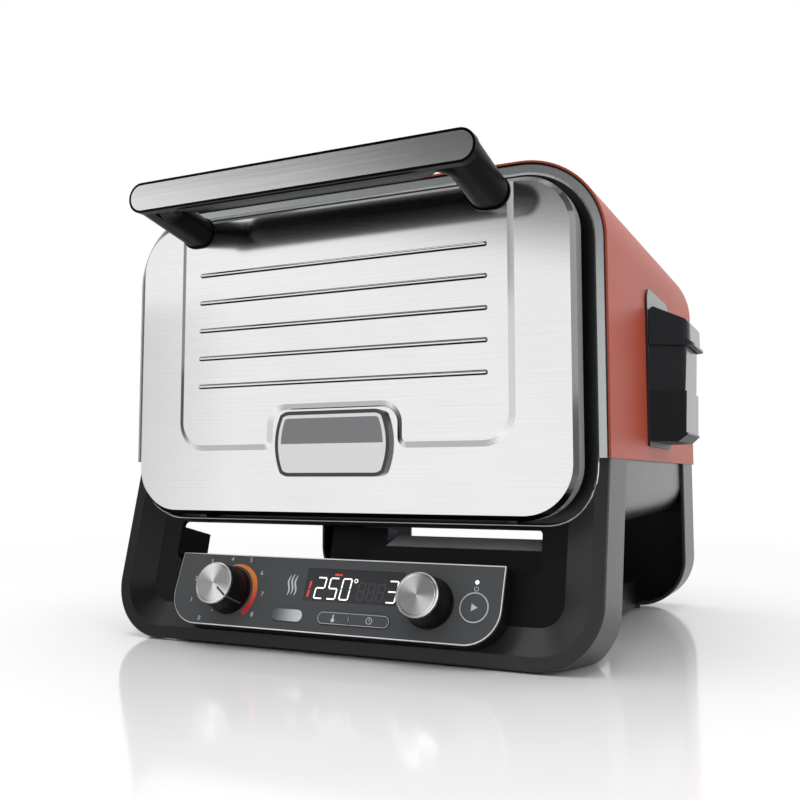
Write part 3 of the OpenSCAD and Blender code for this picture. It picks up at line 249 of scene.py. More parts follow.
class Finish:
    """One procedural material: a Principled shader over the piece's own place."""

    def __init__(self, name, constants):
        self.material = bpy.data.materials.new(name)
        self.material.use_nodes = True
        tree = self.material.node_tree
        tree.nodes.clear()
        output = tree.nodes.new("ShaderNodeOutputMaterial")
        self.shader = tree.nodes.new("ShaderNodeBsdfPrincipled")
        tree.links.new(self.shader.outputs[0], output.inputs[0])
        place = tree.nodes.new("ShaderNodeTexCoord")
        self.spot = Wire(tree, place.outputs["Object"])
        self.facing = Wire(tree, place.outputs["Normal"])
        self.feed(constants)

    def face(self):
        """Direction of the facet itself, before smoothing, in the piece's own frame."""
        flat = self.spot.node("NewGeometry", {}, {}, "True Normal")
        return self.spot.node("VectorTransform", {"vector_type": "NORMAL", "convert_from": "WORLD",
                                                  "convert_to": "OBJECT"}, {"Vector": flat})

    def feed(self, sockets):
        for key, value in sockets.items():
            self.spot.join(value, self.shader.inputs[key])
        return self.material


# grain, colour spread, roughness, its spread, relief in metres, shader constants
SATIN = {
    "bezel_grey": (3000.0, 0.05, 0.24, 0.05, 0.00001, {"Metallic": 0.85}),
    "pan_enamel": (1400.0, 0.12, 0.26, 0.06, 0.00002, {"Specular IOR Level": 0.5}),
    "gland_plastic": (2200.0, 0.15, 0.5, 0.06, 0.00003, {}),
    "screw_zinc": (1800.0, 0.1, 0.32, 0.08, 0.00001, {"Metallic": 1.0}),
    "flange_enamel": (1600.0, 0.12, 0.3, 0.06, 0.00002, {}),
    "wool_blanket": (420.0, 0.16, 0.9, 0.04, 0.0006, {}),
    "gasket_braid": (1500.0, 0.35, 0.8, 0.08, 0.0003, {}),
    "rod_oxide": (700.0, 0.3, 0.55, 0.1, 0.00004, {"Metallic": 0.7}),
    "motor_zinc": (900.0, 0.12, 0.42, 0.1, 0.00002, {"Metallic": 0.9}),
    "hinge_black": (1500.0, 0.12, 0.4, 0.06, 0.00002, {}),
    "rack_chrome": (500.0, 0.08, 0.16, 0.05, 0.000008, {"Metallic": 1.0}),
    "liner_screw_steel": (1500.0, 0.1, 0.35, 0.06, 0.00001, {"Metallic": 1.0}),
    "rim_grey": (2400.0, 0.05, 0.4, 0.05, 0.00001, {"Metallic": 0.3}),
    "badge_black": (1500.0, 0.1, 0.22, 0.05, 0.00001, {"Coat Weight": 0.5}),
    "badge_grey": (2600.0, 0.04, 0.45, 0.05, 0.00001, {}),
    "badge_white": (2600.0, 0.02, 0.4, 0.05, 0.00001, {}),
    "door_screw_steel": (1600.0, 0.1, 0.34, 0.06, 0.00001, {"Metallic": 1.0}),
    "handle_black": (2600.0, 0.12, 0.3, 0.05, 0.00002, {"Specular IOR Level": 0.05}),
    "frame_screw_black": (1800.0, 0.1, 0.36, 0.08, 0.00001, {"Metallic": 0.8}),
    "tray_black": (1700.0, 0.15, 0.45, 0.06, 0.00003, {"Specular IOR Level": 0.15}),
    "foot_rubber": (1800.0, 0.2, 0.75, 0.06, 0.00006, {}),
    "lip_highlight_chrome": (700.0, 0.05, 0.2, 0.05, 0.000008, {"Metallic": 1.0}),
    "housing_black": (1800.0, 0.15, 0.4, 0.06, 0.00003, {"Specular IOR Level": 0.35}),
    "panel_grey": (3400.0, 0.06, 0.56, 0.05, 0.00002, {"Specular IOR Level": 0.08}),
    "display_glass": (600.0, 0.05, 0.16, 0.05, 0.000004, {"Specular IOR Level": 0.35}),
    "panel_ink": (4200.0, 0.06, 0.5, 0.04, 0.00001, {}),
    "unlit_segment": (1200.0, 0.05, 0.3, 0.04, 0.000004, {}),
    "knob_black": (2400.0, 0.12, 0.36, 0.05, 0.00002, {"Specular IOR Level": 0.18}),
    "pointer_black": (2400.0, 0.1, 0.5, 0.05, 0.00001, {}),
    "pointer_grey": (2400.0, 0.1, 0.5, 0.05, 0.00001, {}),
    "button_grey": (3400.0, 0.06, 0.54, 0.05, 0.00002, {"Specular IOR Level": 0.18}),
    "button_ink": (4200.0, 0.06, 0.5, 0.04, 0.00001, {}),
    "ring_chrome": (700.0, 0.06, 0.24, 0.05, 0.000008, {"Metallic": 0.4}),
}


def satin(name, colour, stretch=(1.0, 1.0, 1.0)):
    """Painted, moulded or cast surface: fine grain over slow clouds, in colour, gloss and relief."""
    grain, spread, rough, rough_spread, relief, constants = SATIN[name]
    finish = Finish(name, constants)
    fine = finish.spot.scaled(stretch).noise(grain, 4.0)
    cloud = finish.spot.noise(11.0, 2.0)
    share = fine * 0.6 + cloud * 0.4
    return finish.feed({
        "Base Color": share.mix(shade(colour, 1.0 - spread), shade(colour, 1.0 + spread)),
        "Roughness": rough + (share - 0.5) * (2.0 * rough_spread),
        "Normal": fine.bump(relief),
    })


def brushed(name, colour, stretch, rough, depth, reflection_fade=None):
    """Brushed metal: streaks along one axis, in tone, gloss and relief; it may be painted darker to the
    right, a painted reflection of a darker room.
    """
    finish = Finish(name, {"Metallic": 1.0})
    streak = finish.spot.scaled(stretch).noise(1.0, 5.0, 0.7)
    long = finish.spot.scaled(tuple(value * 0.22 for value in stretch)).noise(1.0, 3.0)
    cloud = finish.spot.noise(7.0, 2.0)
    share = streak * 0.5 + long * 0.3 + cloud * 0.2
    tint = share.rise(0.3, 0.7).mix(shade(colour, 0.86), shade(colour, 1.08))
    if reflection_fade:
        tint = finish.spot.along(RIGHT).rise(*reflection_fade).mix(tint, shade(colour, 0.58))
    return finish.feed({
        "Base Color": tint,
        "Roughness": rough + (share - 0.5) * 0.22,
        "Normal": streak.bump(depth),
    })


# direction of a stamped slope, where its painted shade begins and is full, how much light it takes
PAINTED_SLOPE_SHADES = ((DOWN, 0.26, 0.42, 0.98), (LEFT, 0.12, 0.36, 0.94), (UP, 0.12, 0.6, 0.75),
          (RIGHT, 0.25, 0.5, 0.88), (UP, 0.55, 0.68, 0.9))


def stamped(name, colour, rough, depth):
    """Brushed door steel with painted shade and reflection: its stamped slopes are painted dark below and
    grey at the sides, standing in for the room that they mirror.
    """
    finish = Finish(name, {"Metallic": 1.0})
    streak = finish.spot.scaled((9.0, 1600.0, 1600.0)).noise(1.0, 5.0, 0.7)
    cloud = finish.spot.noise(6.0, 2.0)
    share = streak * 0.6 + cloud * 0.4
    face = finish.face()
    # painted shade and reflection: each slope's facing darkens the steel's colour
    first, *others = [1.0 - face.along(side).rise(begin, end) * taken for side, begin, end, taken in PAINTED_SLOPE_SHADES]
    kept = math.prod(others, start=first)
    return finish.feed({
        "Base Color": ((share.rise(0.3, 0.7) * 0.1 + 0.9) * kept).mix((0.0, 0.0, 0.0), colour),
        "Roughness": rough + (share - 0.5) * 0.1,
        "Normal": streak.bump(depth),
    })


def edged(name, bright, dim, start, end):
    """Thin trim with a painted highlight: painted bright where it faces up or out of the panel, and painted
    dimmer at its left end.
    """
    finish = Finish(name, {"Metallic": 0.2})
    speck = finish.spot.noise(700.0, 3.0)
    face = finish.face()
    lit = face.along(UP).rise(0.5, 0.85).larger(face.along(LAY.out).rise(0.8, 0.95))
    share = lit * finish.spot.along(RIGHT).rise(start, end) + (speck - 0.5) * 0.2
    return finish.feed({"Base Color": share.mix(dim, bright), "Roughness": 0.2 + speck * 0.1})


def lit_ledge(name, colour, lit, side):
    """Black moulding with a painted reflection: its faces towards one side are painted a pale slate colour,
    in the right half of the oven, standing in for the bright room they mirror.
    """
    finish = Finish(name, {"Specular IOR Level": 0.15})
    grain = finish.spot.noise(1700.0, 4.0)
    share = finish.facing.along(side).rise(0.75, 0.92) * (0.85 + grain * 0.15)
    share = share * finish.spot.along(RIGHT).rise(-0.1, -0.05)
    return finish.feed({"Base Color": share.mix(colour, lit), "Roughness": 0.42 + grain * 0.08,
                        "Normal": grain.bump(0.00003)})


def spun(name, colour, centre, lean):
    """Turned steel face: rings round the knob's axis, and a painted fan-shaped highlight that stands in for
    the sheen of turned steel.
    """
    finish = Finish(name, {"Metallic": 1.0})
    arm = finish.spot.away_from(centre)
    across = arm.along(LAY.across)
    up = arm.along(LAY.up)
    radius = (across * across + up * up) ** 0.5
    angle = up.angle_with(across)
    fan = ((angle - lean) * 2.0).cosine() * 0.5 + 0.5
    side = ((angle - lean + 0.5) * 3.0).cosine() * 0.12
    rings = radius.node("TexNoise", {"noise_dimensions": "1D"}, {"W": radius, "Scale": 5200.0, "Detail": 2.0})
    share = (fan ** 1.6) * 0.75 + side + (rings - 0.5) * 0.35
    return finish.feed({
        "Base Color": share.rise(0.0, 0.9).mix(shade(colour, 0.42), shade(colour, 1.2)),
        "Roughness": 0.34 + (rings - 0.5) * 0.2,
        "Normal": rings.bump(0.00002, 0.6),
    })


def lamp(name, colour, strength):
    """Lit segment or lens: its own light, a little brighter in the middle of the grain."""
    finish = Finish(name, {"Base Color": (*shade(colour, 0.8), 1.0), "Roughness": 0.4,
                           "Emission Strength": strength})
    spark = finish.spot.noise(900.0, 2.0)
    return finish.feed({"Emission Color": spark.mix(shade(colour, 0.86), colour)})


def heat_scale(name, warm, hot):
    """Printed scale that runs from orange to red down the right of the selector."""
    finish = Finish(name, {"Roughness": 0.5})
    up = finish.spot.away_from(LAY.at(0.0, 0.0, 0.0)).along(LAY.up)
    speck = finish.spot.noise(2500.0, 2.0)
    share = (up * -1.0 + (speck - 0.5) * 0.0016).rise(-13.0 * MM, 13.0 * MM)
    return finish.feed({"Base Color": share.mix(warm, hot), "Normal": speck.bump(0.00001)})


class PanelLay:
    """Places drawings on the leaning control panel: u across, v up the slope, h out of its face."""

    def __init__(self):
        left = Vector(JOINTS["selector_turn"]["pos_m"])
        right = Vector(JOINTS["adjust_turn"]["pos_m"])
        self.out = Vector(JOINTS["selector_turn"]["axis"]).normalized()
        self.across = (right - left).normalized()
        self.up = self.out.cross(self.across)
        self.knob = (right - left).length / 2
        middle = (left + right) / 2
        face = max((vertex.co - middle).dot(self.out) for vertex in NODES["control_panel"].data.vertices)
        self.middle = middle + self.out * face

    def at(self, u, v, h):
        return self.middle + self.across * u + self.up * v + self.out * h

    def matrix(self, u, v, h):
        """Local x, y and z run across, up and out of the panel."""
        columns = Matrix((self.across, self.up, self.out)).transposed().to_4x4()
        return Matrix.Translation(self.at(u, v, h)) @ columns

    def height(self, spot):
        return (spot - self.middle).dot(self.out)

    def place(self, spot):
        arm = spot - self.middle
        return Vector((arm.dot(self.across), arm.dot(self.up)))

    def top_of(self, node):
        """Height of a node's outermost face over the panel."""
        return max(self.height(vertex.co) for vertex in NODES[node].data.vertices)

    def middle_of(self, node):
        """Panel place of the middle of a node."""
        us, vs = zip(*(self.place(vertex.co) for vertex in NODES[node].data.vertices))
        return (min(us) + max(us)) / 2, (min(vs) + max(vs)) / 2, max(us) - min(us), max(vs) - min(vs)


LAY = PanelLay()


class Draft:
    """A mesh being drawn in a local frame that may be set anew for each part of it."""
    # a direction that no rod runs along
    ASKEW = Vector((0.31, 0.17, 0.93))

    def __init__(self, place=None):
        self.mesh = bmesh.new()
        self.place = place or Matrix.Identity(4)

    def ring(self, points):
        return [self.mesh.verts.new(self.place @ Vector(point)) for point in points]

    def skin(self, first, second, closed=True):
        count = len(first)
        for i in range(count if closed else count - 1):
            after = (i + 1) % count
            self.mesh.faces.new((first[i], first[after], second[after], second[i]))

    def loft(self, rows):
        """Skin over rows of equal count, closed at both ends."""
        for first, second in zip(rows, rows[1:]):
            self.skin(first, second)
        self.mesh.faces.new(list(reversed(rows[0])))
        self.mesh.faces.new(rows[-1])

    def plate(self, outline, low, high):
        """Flat plate with an outline in local x and y."""
        under = self.ring([(x, y, low) for x, y in outline])
        over = self.ring([(x, y, high) for x, y in outline])
        self.skin(under, over)
        self.mesh.faces.new(over)
        self.mesh.faces.new(list(reversed(under)))

    def band(self, inner, outer, low, high, closed):
        """Flat band between two lines of equal count."""
        rows = []
        for line, z in ((inner, low), (outer, low), (outer, high), (inner, high)):
            rows.append(self.ring([(x, y, z) for x, y in line]))
        for i in range(4):
            self.skin(rows[i], rows[(i + 1) % 4], closed)
        if not closed:
            self.mesh.faces.new([row[0] for row in reversed(rows)])
            self.mesh.faces.new([row[-1] for row in rows])

    def turned(self, profile, steps=36, lobes=6):
        """Body turned round local z; a profile point is radius, height and, if wanted, depth of lobes."""
        rows = []
        for radius, height, *depth in profile:
            cut = depth[0] if depth else 0.0
            points = []
            for i in range(steps):
                angle = math.tau * i / steps
                reach = radius * (1.0 + cut * math.cos(lobes * angle))
                points.append((reach * math.cos(angle), reach * math.sin(angle), height))
            rows.append(self.ring(points))
        self.loft(rows)

    def tube(self, path, radius, sides=10):
        """Round rod along a path."""
        path = [Vector(point) for point in path]
        rows = []
        for i, point in enumerate(path):
            ahead = (path[min(i + 1, len(path) - 1)] - path[max(i - 1, 0)]).normalized()
            side = ahead.cross(self.ASKEW).normalized()
            lift = side.cross(ahead)
            rows.append(self.ring([point + side * (radius * math.cos(math.tau * k / sides))
                                   + lift * (radius * math.sin(math.tau * k / sides)) for k in range(sides)]))
        self.loft(rows)

    def screw(self, spot, out, radius):
        """Pan-head screw with a lobed recess, its head standing out of a surface."""
        self.place = Matrix.Translation(spot) @ Vector(out).to_track_quat("Z", "Y").to_matrix().to_4x4()
        tall = radius * 0.5
        self.turned([(radius * 0.9, -0.2 * MM), (radius, 0.15 * tall), (radius * 0.94, 0.6 * tall),
                     (radius * 0.72, 0.95 * tall), (radius * 0.5, tall), (radius * 0.42, tall, 0.14),
                     (radius * 0.38, 0.45 * tall, 0.14), (radius * 0.1, 0.4 * tall)])

    def done(self, name, body, material, smooth=True):
        """Turns the draft into a piece that rides on a body."""
        bmesh.ops.recalc_face_normals(self.mesh, faces=self.mesh.faces)
        data = bpy.data.meshes.new(name)
        self.mesh.to_mesh(data)
        self.mesh.free()
        data.materials.append(material)
        if smooth:
            data.shade_smooth()
            data.set_sharp_from_angle(angle=math.radians(35))
        piece = bpy.data.objects.new(name, data)
        bpy.context.scene.collection.objects.link(piece)
        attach(piece, body)


def arc(radius, start, end, count, centre=(0.0, 0.0)):
    """Points of an arc in degrees."""
    points = []
    for i in range(count + 1):
        angle = math.radians(start + (end - start) * i / count)
        points.append((centre[0] + radius * math.cos(angle), centre[1] + radius * math.sin(angle)))
    return points


def circle(radius, count):
    """Points of a full circle."""
    return arc(radius, 0, 360 - 360 / count, count - 1)


def paint(material, *names):
    """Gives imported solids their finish."""
    for name in names:
        data = NODES[name].data
        data.materials.clear()
        data.materials.append(material)


def screws(name, body, material, box, y, radius, rows):
    """Screws in mirrored pairs on the back of a sheet; a row is a share of the height and an inset in mm."""
    low, high = box
    middle, reach = (low.x + high.x) / 2, (high.x - low.x) / 2
    draft = Draft()
    for side in (-1, 1):
        for share, inset in rows:
            spot = (middle + side * (reach - inset * MM), y, low.z + share * (high.z - low.z))
            draft.screw(spot, BACK, radius)
    draft.done(name, body, material)


def oblong(left, right, low, high):
    """Corners of an upright rectangle."""
    return [(left, low), (right, low), (right, high), (left, high)]


def numeral(text, place, size, material, name):
    """Plain numeral as a thin printed mesh on the panel."""
    curve = bpy.data.curves.new(name, "FONT")
    curve.body = text
    curve.size = size * 1.4
    curve.align_x = "CENTER"
    curve.align_y = "CENTER"
    curve.extrude = 0.02 * MM
    curve.resolution_u = 6
    helper = bpy.data.objects.new(name, curve)
    data = bpy.data.meshes.new_from_object(helper)
    bpy.data.objects.remove(helper)
    bpy.data.curves.remove(curve)
    data.transform(place)
    data.name = name
    data.materials.append(material)
    piece = bpy.data.objects.new(name, data)
    bpy.context.scene.collection.objects.link(piece)
    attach(piece, "oven")


class OvenStep(bpy.types.Operator):
    """Common ground of the oven's operators"""
    bl_options = {"REGISTER", "UNDO"}

    def execute(self, context):
        self.make(context.scene.oven_colours, context.scene.oven_sizes)
        return {"FINISHED"}


class OVEN_OT_body(OvenStep):
    """Painted shell, bezel, pan, rear panel and their screws"""
    bl_idname = "oven.body"
    bl_label = "Oven body"

    def make(self, colours, sizes):
        self.shell(colours)
        paint(satin("bezel_grey", colours.bezel), "front_bezel")
        paint(satin("pan_enamel", colours.enamel), "body_pan", "rear_panel")
        paint(satin("gland_plastic", colours.plastic), "cord_gland")
        zinc = satin("screw_zinc", tone(150, 152, 154))
        screws("rear_panel_screws", "oven", zinc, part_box("rear_panel"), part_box("outer_shell")[1].y,
               sizes.screw, ((0.93, 52), (0.66, 16), (0.4, 16), (0.16, 20)))

    def shell(self, colours):
        """Powder coat outside and black inside; the front edge along the left side is painted bezel grey as a
        painted highlight.
        """
        low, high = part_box("outer_shell")
        finish = Finish("shell_paint", {"Specular IOR Level": 0.2})
        fine = finish.spot.noise(2600.0, 4.0)
        share = fine * 0.6 + finish.spot.noise(11.0, 2.0) * 0.4
        outside = share.mix(shade(colours.shell, 0.95), shade(colours.shell, 1.05))
        face = finish.face()
        arm = finish.spot.away_from((low + high) / 2).scaled((1.0, 0.0, 1.0))
        inward = (face.along(arm) * -1.0).rise(0.01, 0.03)
        # painted highlight: the shell's edge near the left side takes the bezel's grey
        highlight_from, highlight_full = -56.0 * MM, -34.0 * MM
        left = (finish.spot.along(LEFT) + low.x).rise(highlight_from, highlight_full)
        front = face.along(FRONT).rise(0.8, 0.95) * left
        coat = inward.mix(front.mix(outside, colours.bezel), left.mix(colours.enamel, colours.bezel))
        paint(finish.feed({"Base Color": coat, "Roughness": 0.35 + share * 0.1,
                           "Normal": fine.bump(0.00003)}), "outer_shell")


class OVEN_OT_inside(OvenStep):
    """Liner, heating rods, fan, stone, rack and gasket"""
    bl_idname = "oven.inside"
    bl_label = "Oven inside"

    def make(self, colours, sizes):
        paint(brushed("liner_steel", shade(colours.steel, 0.75), (40.0, 900.0, 900.0), 0.38, 0.000004),
              "oven_liner", "rail_left", "rail_right", "fan_cover", "smoke_duct")
        paint(satin("flange_enamel", colours.enamel), "liner_flange")
        paint(satin("wool_blanket", tone(222, 214, 190)), "insulation")
        paint(satin("gasket_braid", tone(58, 58, 60), (1.0, 1.0, 3.0)), "door_gasket")
        paint(satin("rod_oxide", tone(86, 78, 74)), "upper_element", "lower_element")
        paint(satin("motor_zinc", tone(110, 112, 116)), "fan_motor", "fan_blade", "temperature_probe")
        paint(satin("hinge_black", colours.enamel), "hinge_left", "hinge_right")
        paint(satin("rack_chrome", tone(214, 215, 217)), "roast_rack")
        finish = Finish("pizza_stone", {"Roughness": 0.85})
        speck = finish.spot.noise(950.0, 5.0, 0.7)
        crumb = finish.spot.node("TexVoronoi", {}, {"Vector": finish.spot, "Scale": 420.0})
        share = speck * 0.7 + crumb * 0.5
        crust = share.rise(0.2, 0.8).mix(shade(colours.stone, 0.74), shade(colours.stone, 1.12))
        paint(finish.feed({"Base Color": crust, "Normal": share.bump(0.0003)}), "pizza_stone")
        low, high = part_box("fan_cover")
        centre = (low + high) / 2
        reach = 0.86 * (high.x - low.x) / 2
        draft = Draft()
        for x, z in arc(reach, 45, 315, 3, (centre.x, centre.z)):
            draft.screw((x, low.y, z), FRONT, sizes.screw * 0.8)
        draft.done("fan_cover_screws", "oven", satin("liner_screw_steel", tone(168, 168, 166)))


class OVEN_OT_door(OvenStep):
    """Brushed door, its rim, inner liner and bare badge"""
    bl_idname = "oven.door"
    bl_label = "Door"

    def make(self, colours, sizes):
        paint(stamped("door_steel", colours.steel, 0.11, 0.000002), "door_skin")
        paint(satin("rim_grey", colours.rim), "door_rim")
        paint(brushed("door_liner_steel", shade(colours.steel, 0.8), (40.0, 900.0, 900.0), 0.36, 0.000004),
              "door_liner")
        paint(satin("badge_black", tone(24, 24, 26)), "badge_plate")
        paint(satin("badge_grey", tone(128, 129, 131)), "badge_upper")
        paint(satin("badge_white", tone(240, 240, 240)), "badge_lower")
        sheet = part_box("door_rim")[1].y + sizes.liner_sheet
        steel = satin("door_screw_steel", tone(160, 160, 160))
        screws("door_liner_screws", "door", steel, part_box("door_liner"), sheet,
               sizes.screw * 0.7, ((0.2, 8), (0.5, 8), (0.8, 8)))


class OVEN_OT_handle(OvenStep):
    """Black handle with its steel inlay and root collars"""
    bl_idname = "oven.handle"
    bl_label = "Handle"

    def make(self, colours, sizes):
        black = satin("handle_black", shade(colours.plastic, 0.4))
        paint(black, "handle_body")
        low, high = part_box("handle_trim")
        # painted reflection: the inlay is painted darker towards its right end
        paint(brushed("handle_steel", colours.steel, (12.0, 1500.0, 1500.0), 0.24, 0.000002,
                      ((low.x + high.x) / 2, high.x)), "handle_trim")
        spots = [vertex.co for vertex in NODES["handle_body"].data.vertices]
        root = max(spot.y for spot in spots)
        middle = sum(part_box("handle_body"), Vector()).x / 2
        draft = Draft()
        for side in (-1, 1):
            foot = [spot for spot in spots if spot.y > root - 0.05 * MM and (spot.x - middle) * side > 0.0]
            left, right = min(spot.x for spot in foot), max(spot.x for spot in foot)
            low, high = min(spot.z for spot in foot), max(spot.z for spot in foot)
            radius = (high - low) / 2 + sizes.collar
            reach = (right - left) / 2 - (high - low) / 2
            line = arc(radius, -90, 90, 16, (reach, 0.0)) + arc(radius, 90, 270, 16, (-reach, 0.0))
            draft.place = (Matrix.Translation(((left + right) / 2, root, (low + high) / 2))
                           @ Matrix.Rotation(math.pi / 2, 4, "X"))
            draft.plate(line, 0.0, sizes.collar)
        draft.done("handle_collars", "door", black)
        self.grip(sizes, black)

    def grip(self, sizes, black):
        """Full, rounded back of the bar that the fingers close on; it runs out in the bends of the arms."""
        bar_low, bar_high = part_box("handle_trim")
        middle = (bar_low.x + bar_high.x) / 2
        front = bar_high.y + sizes.grip_lap
        tall = (bar_high.z - bar_low.z) / 2 + sizes.grip_lap
        height = (bar_low.z + bar_high.z) / 2
        draft = Draft()
        rows = []
        steps = 40
        for i in range(steps + 1):
            along = -1.0 + 2.0 * i / steps
            full = min(1.0, (1.0 - abs(along)) / sizes.grip_taper)
            full = full * full * (3.0 - 2.0 * full)
            deep = sizes.grip_deep * (0.35 + 0.65 * full)
            high = tall * (0.75 + 0.25 * full)
            line = arc(1.0, -90, 90, 20)
            rows.append(draft.ring([(middle + along * sizes.grip_half, front + deep * x, height + high * z)
                                    for x, z in line]))
        draft.loft(rows)
        draft.done("handle_grip", "door", black)


class OVEN_OT_base(OvenStep):
    """Cradle base: frames, bulkhead, tray, feet and the bright lip of the opening"""
    bl_idname = "oven.base"
    bl_label = "Base"

    def make(self, colours, sizes):
        # painted light: the black enamel is painted greyer towards the right side of the oven
        finish = Finish("frame_enamel", {"Specular IOR Level": 0.28})
        grain = finish.spot.noise(1500.0, 4.0)
        side = finish.spot.along(RIGHT).rise(-0.22, 0.2) * 0.85 + grain * 0.15
        paint(finish.feed({"Base Color": side.mix(shade(colours.enamel, 0.6), tone(46, 46, 48)),
                           "Roughness": 0.27 + grain * 0.06, "Normal": grain.bump(0.00002)}),
              "front_frame", "rear_frame")
        self.lip(sizes)
        zinc = satin("frame_screw_black", tone(60, 61, 63))
        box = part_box("rear_frame")
        screws("rear_frame_screws", "oven", zinc, box, box[1].y, sizes.screw,
               ((0.2, 62), (0.42, 34), (0.84, 12)))
        paint(satin("tray_black", shade(colours.enamel, 0.8)), "base_tray")
        # painted reflection: pale colour on the faces of bulkhead and cover that would mirror the bright room
        paint(lit_ledge("bulkhead_black", shade(colours.enamel, 0.8), tone(120, 130, 145), RIGHT),
              "front_bulkhead")
        paint(lit_ledge("cover_black", shade(colours.enamel, 0.8), tone(246, 250, 255), UP),
              "electronics_cover")
        paint(satin("foot_rubber", tone(26, 26, 27)),
              "foot_front_left", "foot_front_right", "foot_rear_left", "foot_rear_right")

    def lip(self, sizes):
        """Chrome lip along the lower edge of the door opening, following the dished front; it stands in for
        the highlight on the opening's rounded edge.
        """
        low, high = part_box("front_bezel")
        middle = (low.x + high.x) / 2
        half = (high.x - low.x) / 2 - sizes.bezel_band
        bend, margin = sizes.opening_bend, 1.5 * MM
        flat, tip = half - bend, bend * 1.6
        line = [(-half, tip)] + arc(bend, 180, 270, 14, (-flat, bend))
        line += arc(bend, 270, 360, 14, (flat, bend)) + [(half, tip)]
        cosine, sine = math.cos(sizes.base_lean), math.sin(sizes.base_lean)
        path = []
        for x, up in line:
            depth = -sizes.dish_depth * max(0.0, min(1.0, (half - margin - abs(x)) / sizes.dish_run))
            rise = (sizes.opening_low + up - depth * sine) / cosine
            path.append((middle + x, sizes.lean_foot + rise * sine - depth * cosine, sizes.opening_low + up))
        draft = Draft()
        draft.tube(path, sizes.lip)
        draft.done("opening_lip", "oven", satin("lip_highlight_chrome", tone(156, 158, 160)))


class OVEN_OT_panel(OvenStep):
    """Panel housing, face, bright trim, display window and status light"""
    bl_idname = "oven.panel"
    bl_label = "Control panel"

    def make(self, colours, sizes):
        paint(satin("housing_black", shade(colours.enamel, 0.7)),
              "panel_housing", "selector_switch", "adjust_encoder")
        paint(satin("panel_grey", colours.panel), "control_panel")
        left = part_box("panel_trim")[0].x
        # painted highlight on the panel trim, painted dimmer towards its left end
        paint(edged("trim_chrome", tone(250, 250, 251), tone(96, 98, 101),
                    left - 20.0 * MM, left + 60.0 * MM), "panel_trim")
        paint(satin("display_glass", colours.glass), "display_window")
        paint(lamp("status_light", tone(246, 250, 255), 1.2), "status_led")


